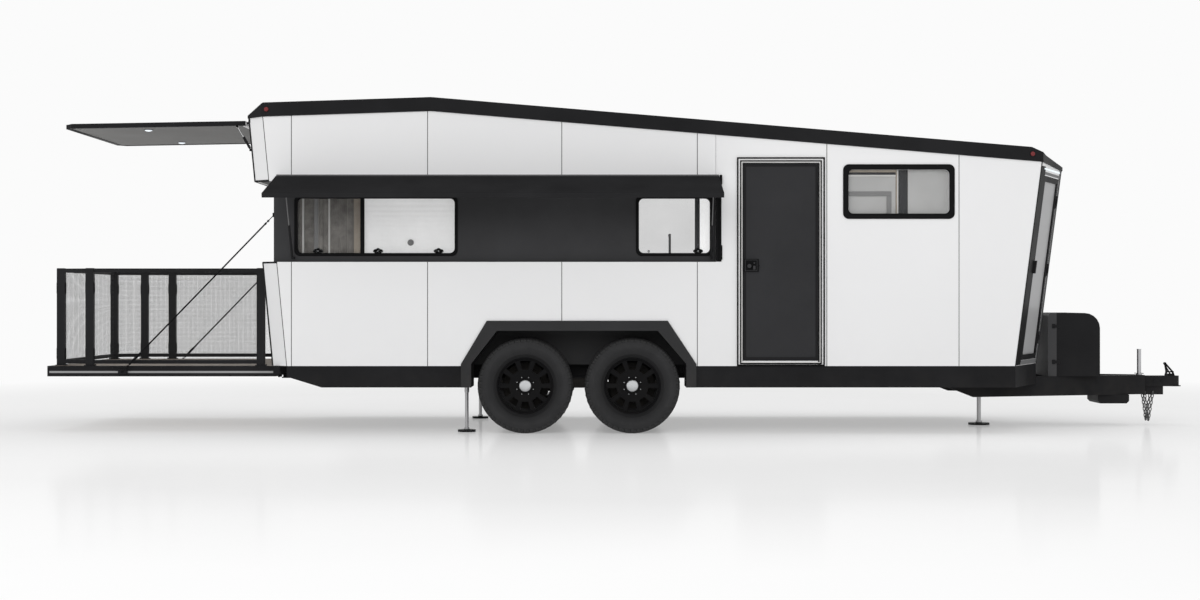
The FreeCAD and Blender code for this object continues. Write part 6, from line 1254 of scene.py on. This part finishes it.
def make_band_ends():
    """Channel at the front end of the window band, and the end plate of the awning's rail."""
    bm = bmesh.new()
    for side in SIDES:
        for (x0, x1), (z0, z1), out, bevel in BAND_END_PLATES:
            y0, y1 = wall_layer(side, 0.002, out)
            add_box(bm, (x0, y0, z0), (x1, y1, z1), bevel)
    mirrored_rods(bm, [((-4.612, 1.300, 1.2475), (-4.612, 1.3155, 1.2475), 0.010, 16)])
    add_box(bm, (-4.6235, -1.340, 1.878), (-4.600, -1.2935, 1.968), 0.005)
    as_piece(bm, "band_end_fittings", "black_trim", "frame_black")


# Tongue and coupler

HANDLE_TOP, HANDLE_LEFT, HANDLE_RIGHT = (-0.082, 0.1755), (-0.066, 0.088), (-0.006, 0.088)
HANDLE_BARS = (
    (HANDLE_TOP, HANDLE_LEFT), (HANDLE_TOP, HANDLE_RIGHT), (HANDLE_LEFT, HANDLE_RIGHT),
    (HANDLE_LEFT, (-0.078, 0.052)), (HANDLE_RIGHT, (0.008, 0.050)),
)


def bolts(bm, spots, way, radius, high=0.006):
    """Hex bolt heads with washers."""
    way = Vector(way)
    for spot in map(Vector, spots):
        add_rod(bm, spot - way * 0.001, spot + way * 0.0015, radius * 1.5, 16)
        add_rod(bm, spot + way * 0.001, spot + way * high, radius, 6)


def make_tongue_details():
    """Clips of the box cover, bolts of the jack and the coupler, plugs and the handle."""
    low, high = box_of("tongue_box_cover")
    clips, heads, plugs, handle = bmesh.new(), bmesh.new(), bmesh.new(), bmesh.new()
    jack_low, jack_high = box_of("tongue_jack")
    x = (jack_low.x + jack_high.x) / 2
    corners = [(x + dx, dy, 0.0715) for dx in (-0.030, 0.030) for dy in (-0.030, 0.030)]
    bolts(heads, corners, Z_AXIS, 0.006)
    for side in SIDES:
        for z in (0.20, 0.55):
            base = Vector((low.x - 0.030, side * high.y, z))
            half = Vector((0.016, 0.006, 0.022))
            add_box(clips, base - half, base + half, 0.003)
            add_box(
                clips, base + Vector((0.0, -0.009, -0.014)), base + Vector((0.058, 0.009, 0.014)),
                0.004,
            )
        bolts(heads, [(x, side * 0.056, 0.0) for x in (-0.20, -0.13)], Y_AXIS * side, 0.010, 0.008)
        add_dome(plugs, (-0.379, side * 0.098, -0.113), (0, side, 0), 0.010, 0.008, 16)
        for (x0, z0), (x1, z1) in HANDLE_BARS:
            add_rod(handle, (x0, side * 0.014, z0), (x1, side * 0.014, z1), 0.0062, 10)
    for x, z in (HANDLE_TOP, HANDLE_LEFT, HANDLE_RIGHT):
        add_rod(handle, (x, -0.020, z), (x, 0.020, z), 0.0085, 12)
    as_piece(clips, "cover_clips", "dark_metal")
    as_piece(heads, "coupler_bolts", "dark_metal")
    as_piece(plugs, "tongue_plugs", "bright_steel", "machined")
    as_piece(handle, "coupler_handle", "dark_metal", "frame_black")


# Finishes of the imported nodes, where they differ from the node's slot

NODE_FINISHES = {
    "stay_cables": "cable_wire", "entry_surround": "hung_wall", "front_wall": "hung_wall",
    "rear_wall": "hung_wall", "hatch_rods": "strut_steel", "galley_tap": "header_grey",
    "stands": "leg_metal", "awning_panel": "awning_skin", "wheel_arches": "arch_paint",
    "light_strips": "strip_lens", "entry_door_leaf": "door_frame", "entry_door_panel": "door_panel",
    # The awning's rods are black; their grey is a painted highlight along them.
    "window_frames": "frame_black", "awning_rods": "header_grey", "hinge_rails": "rail_trim",
    "entry_door_lock": "frame_black", "safety_chains": "chain_steel",
}


def paint_nodes():
    for node, thing in NODES.items():
        materials = thing.data.materials
        slot = materials[0].name.split(".")[0]
        materials.clear()
        materials.append(paint(NODE_FINISHES.get(node, slot)))


# Stage

CAMERA_PLACE = (-5.735, -18.295, 0.806)
CAMERA_LENS = 54.84
FLOOR_CENTRE = (-5.5, 0, -0.4401)
FLOOR_FADE = (7, 13)
FLOOR_GLOSS = 0.22
BACKDROP = (0.965, 0.965, 0.965)
FLOOR_LIFT = (0.32, 0.32, 0.32)
SKY_POWER = 0.61


def make_floor():
    bm = bmesh.new()
    bmesh.ops.create_grid(bm, x_segments=2, y_segments=2, size=90)
    bmesh.ops.translate(bm, verts=bm.verts, vec=Vector(FLOOR_CENTRE))
    mesh = bpy.data.meshes.new("studio_floor")
    bm.to_mesh(mesh)
    bm.free()
    floor = bpy.data.objects.new("studio_floor", mesh)
    bpy.context.scene.collection.objects.link(floor)
    material, tree, shader, patch, _ = grained("floor_paint", patch_scale=0.3, grain_scale=40)
    away = vector_maths(tree, "DISTANCE", object_place(tree), FLOOR_CENTRE, output="Value")
    far = spread(tree, away, 0, 1, *FLOOR_FADE)
    shade = tones(tree, patch, (0.61, 0.61, 0.61), (0.63, 0.63, 0.63))
    set_inputs(tree, shader, {
        "Base Color": mix_colour(tree, far, shade, (0, 0, 0)),
        "Emission Color": mix_colour(tree, far, FLOOR_LIFT, BACKDROP), "Emission Strength": 1,
        "Roughness": spread(tree, patch, 0.30, 0.38), "Specular IOR Level": 0,
        "Coat Weight": spread(tree, far, FLOOR_GLOSS, 0, 0, 0.5), "Coat Roughness": 0.12,
    })
    mesh.materials.append(material)


def make_sky():
    """A plain backdrop for the eye, mirrors and glass, and a dimmer light from all sides."""
    world = bpy.data.worlds.new("studio")
    bpy.context.scene.world = world
    world.use_nodes = True
    tree = world.node_tree
    tree.nodes.clear()
    seen = add_node(tree, "Background", {"Color": BACKDROP})
    light = add_node(tree, "Background", {"Color": (1, 1, 1), "Strength": SKY_POWER})
    rays = add_node(tree, "LightPath").outputs
    direct = maths(tree, "ADD", rays["Is Camera Ray"], rays["Is Transmission Ray"], clamp=True)
    direct = maths(tree, "ADD", direct, rays["Is Glossy Ray"], clamp=True)
    mix = add_node(tree, "MixShader", {0: direct, 1: light.outputs[0], 2: seen.outputs[0]})
    add_node(tree, "OutputWorld", {"Surface": mix.outputs[0]})


def make_lamp_panel(name, place, target, size, power):
    """A soft rectangular lamp that looks at a point."""
    data = bpy.data.lights.new(name, "AREA")
    data.shape = "RECTANGLE"
    data.size, data.size_y = size
    data.energy = power
    lamp = bpy.data.objects.new(name, data)
    bpy.context.scene.collection.objects.link(lamp)
    lamp.location = place
    way = Vector(target) - Vector(place)
    lamp.rotation_euler = way.to_track_quat("-Z", "Y").to_euler()
    lamp.visible_glossy = False


def make_camera():
    data = bpy.data.cameras.new("camera")
    data.sensor_width = 36
    data.lens = CAMERA_LENS
    data.clip_start, data.clip_end = 0.5, 400
    camera = bpy.data.objects.new("camera", data)
    bpy.context.scene.collection.objects.link(camera)
    camera.location = CAMERA_PLACE
    camera.rotation_euler = (math.radians(90), 0, 0)
    bpy.context.scene.camera = camera


class TRAILER_OT_finishes(bpy.types.Operator):
    """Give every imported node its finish."""

    bl_idname = "trailer.finishes"
    bl_label = "Finishes"

    def execute(self, context):
        paint_nodes()
        return {"FINISHED"}


class TRAILER_OT_wheels(bpy.types.Operator):
    """Build the treaded tyres and the fittings of the wheels."""

    bl_idname = "trailer.wheels"
    bl_label = "Wheels"

    def execute(self, context):
        for joint in WHEELS:
            make_tyre(joint, context.scene.trailer_sizes)
            make_wheel_fittings(joint)
        return {"FINISHED"}


class TRAILER_OT_deck(bpy.types.Operator):
    """Build the guard's wires and the hardware of the rear deck."""

    bl_idname = "trailer.deck"
    bl_label = "Rear deck"

    def execute(self, context):
        make_guard_wires(context.scene.trailer_sizes)
        make_guard_hardware()
        make_deck_hardware()
        return {"FINISHED"}


class TRAILER_OT_walls(bpy.types.Operator):
    """Build the seals of the panels and the trims of the corners and the doors."""

    bl_idname = "trailer.walls"
    bl_label = "Wall trims"

    def execute(self, context):
        make_panel_seals(context.scene.trailer_sizes)
        make_corner_trims()
        make_door_trims()
        make_corner_covers()
        return {"FINISHED"}


class TRAILER_OT_windows(bpy.types.Operator):
    """Build the gaskets and latches of the windows, the blinds and the furniture's facings."""

    bl_idname = "trailer.windows"
    bl_label = "Window fittings"

    def execute(self, context):
        make_window_fittings()
        make_blinds()
        make_facings()
        return {"FINISHED"}


class TRAILER_OT_lights(bpy.types.Operator):
    """Build the lamps, the hatch's channels and shrouds, and the window band's end fittings."""

    bl_idname = "trailer.lights"
    bl_label = "Lights"

    def execute(self, context):
        make_lights()
        make_hatch_edges()
        make_strut_shrouds()
        make_band_ends()
        return {"FINISHED"}


class TRAILER_OT_tongue(bpy.types.Operator):
    """Build the chains and the details of the tongue."""

    bl_idname = "trailer.tongue"
    bl_label = "Tongue"

    def execute(self, context):
        make_chain_links(context.scene.trailer_sizes)
        make_tongue_details()
        return {"FINISHED"}


class TRAILER_OT_stage(bpy.types.Operator):
    """Set up the floor, the sky, the lamps and the camera."""

    bl_idname = "trailer.stage"
    bl_label = "Stage"

    def execute(self, context):
        make_floor()
        make_sky()
        make_lamp_panel("key", (-8, -20, 8), (-5.5, 0, 1), (16, 9), 1500)
        make_lamp_panel("top", (-5.5, 1, 14), (-5.5, 0, 0), (16, 10), 520)
        make_camera()
        context.scene.view_settings.view_transform = "Standard"
        return {"FINISHED"}


STEPS = (
    TRAILER_OT_stage, TRAILER_OT_finishes, TRAILER_OT_wheels, TRAILER_OT_deck, TRAILER_OT_walls,
    TRAILER_OT_windows, TRAILER_OT_lights, TRAILER_OT_tongue,
)


class TRAILER_PT_panel(bpy.types.Panel):
    """Sizes, colours and steps of the trailer's looks."""

    bl_idname = "TRAILER_PT_panel"
    bl_label = "Travel trailer"
    bl_space_type = "VIEW_3D"
    bl_region_type = "UI"
    bl_category = "Trailer"

    def draw(self, context):
        column = self.layout.column()
        for group in (context.scene.trailer_sizes, context.scene.trailer_colours):
            for name in group.__annotations__:
                column.prop(group, name)
        for step in STEPS:
            column.operator(step.bl_idname)


CLASSES = (TrailerSizes, TrailerColours, *STEPS, TRAILER_PT_panel)


def register():
    for item in CLASSES:
        bpy.utils.register_class(item)
    bpy.types.Scene.trailer_sizes = PointerProperty(type=TrailerSizes)
    bpy.types.Scene.trailer_colours = PointerProperty(type=TrailerColours)


def unregister():
    del bpy.types.Scene.trailer_colours
    del bpy.types.Scene.trailer_sizes
    for item in reversed(CLASSES):
        bpy.utils.unregister_class(item)


def corners(box):
    return [list(corner) for corner in box]


def main():
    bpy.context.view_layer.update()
    register()
    for step in STEPS:
        group, name = step.bl_idname.split(".")
        getattr(getattr(bpy.ops, group), name)()


if __name__ == "__main__":
    main()
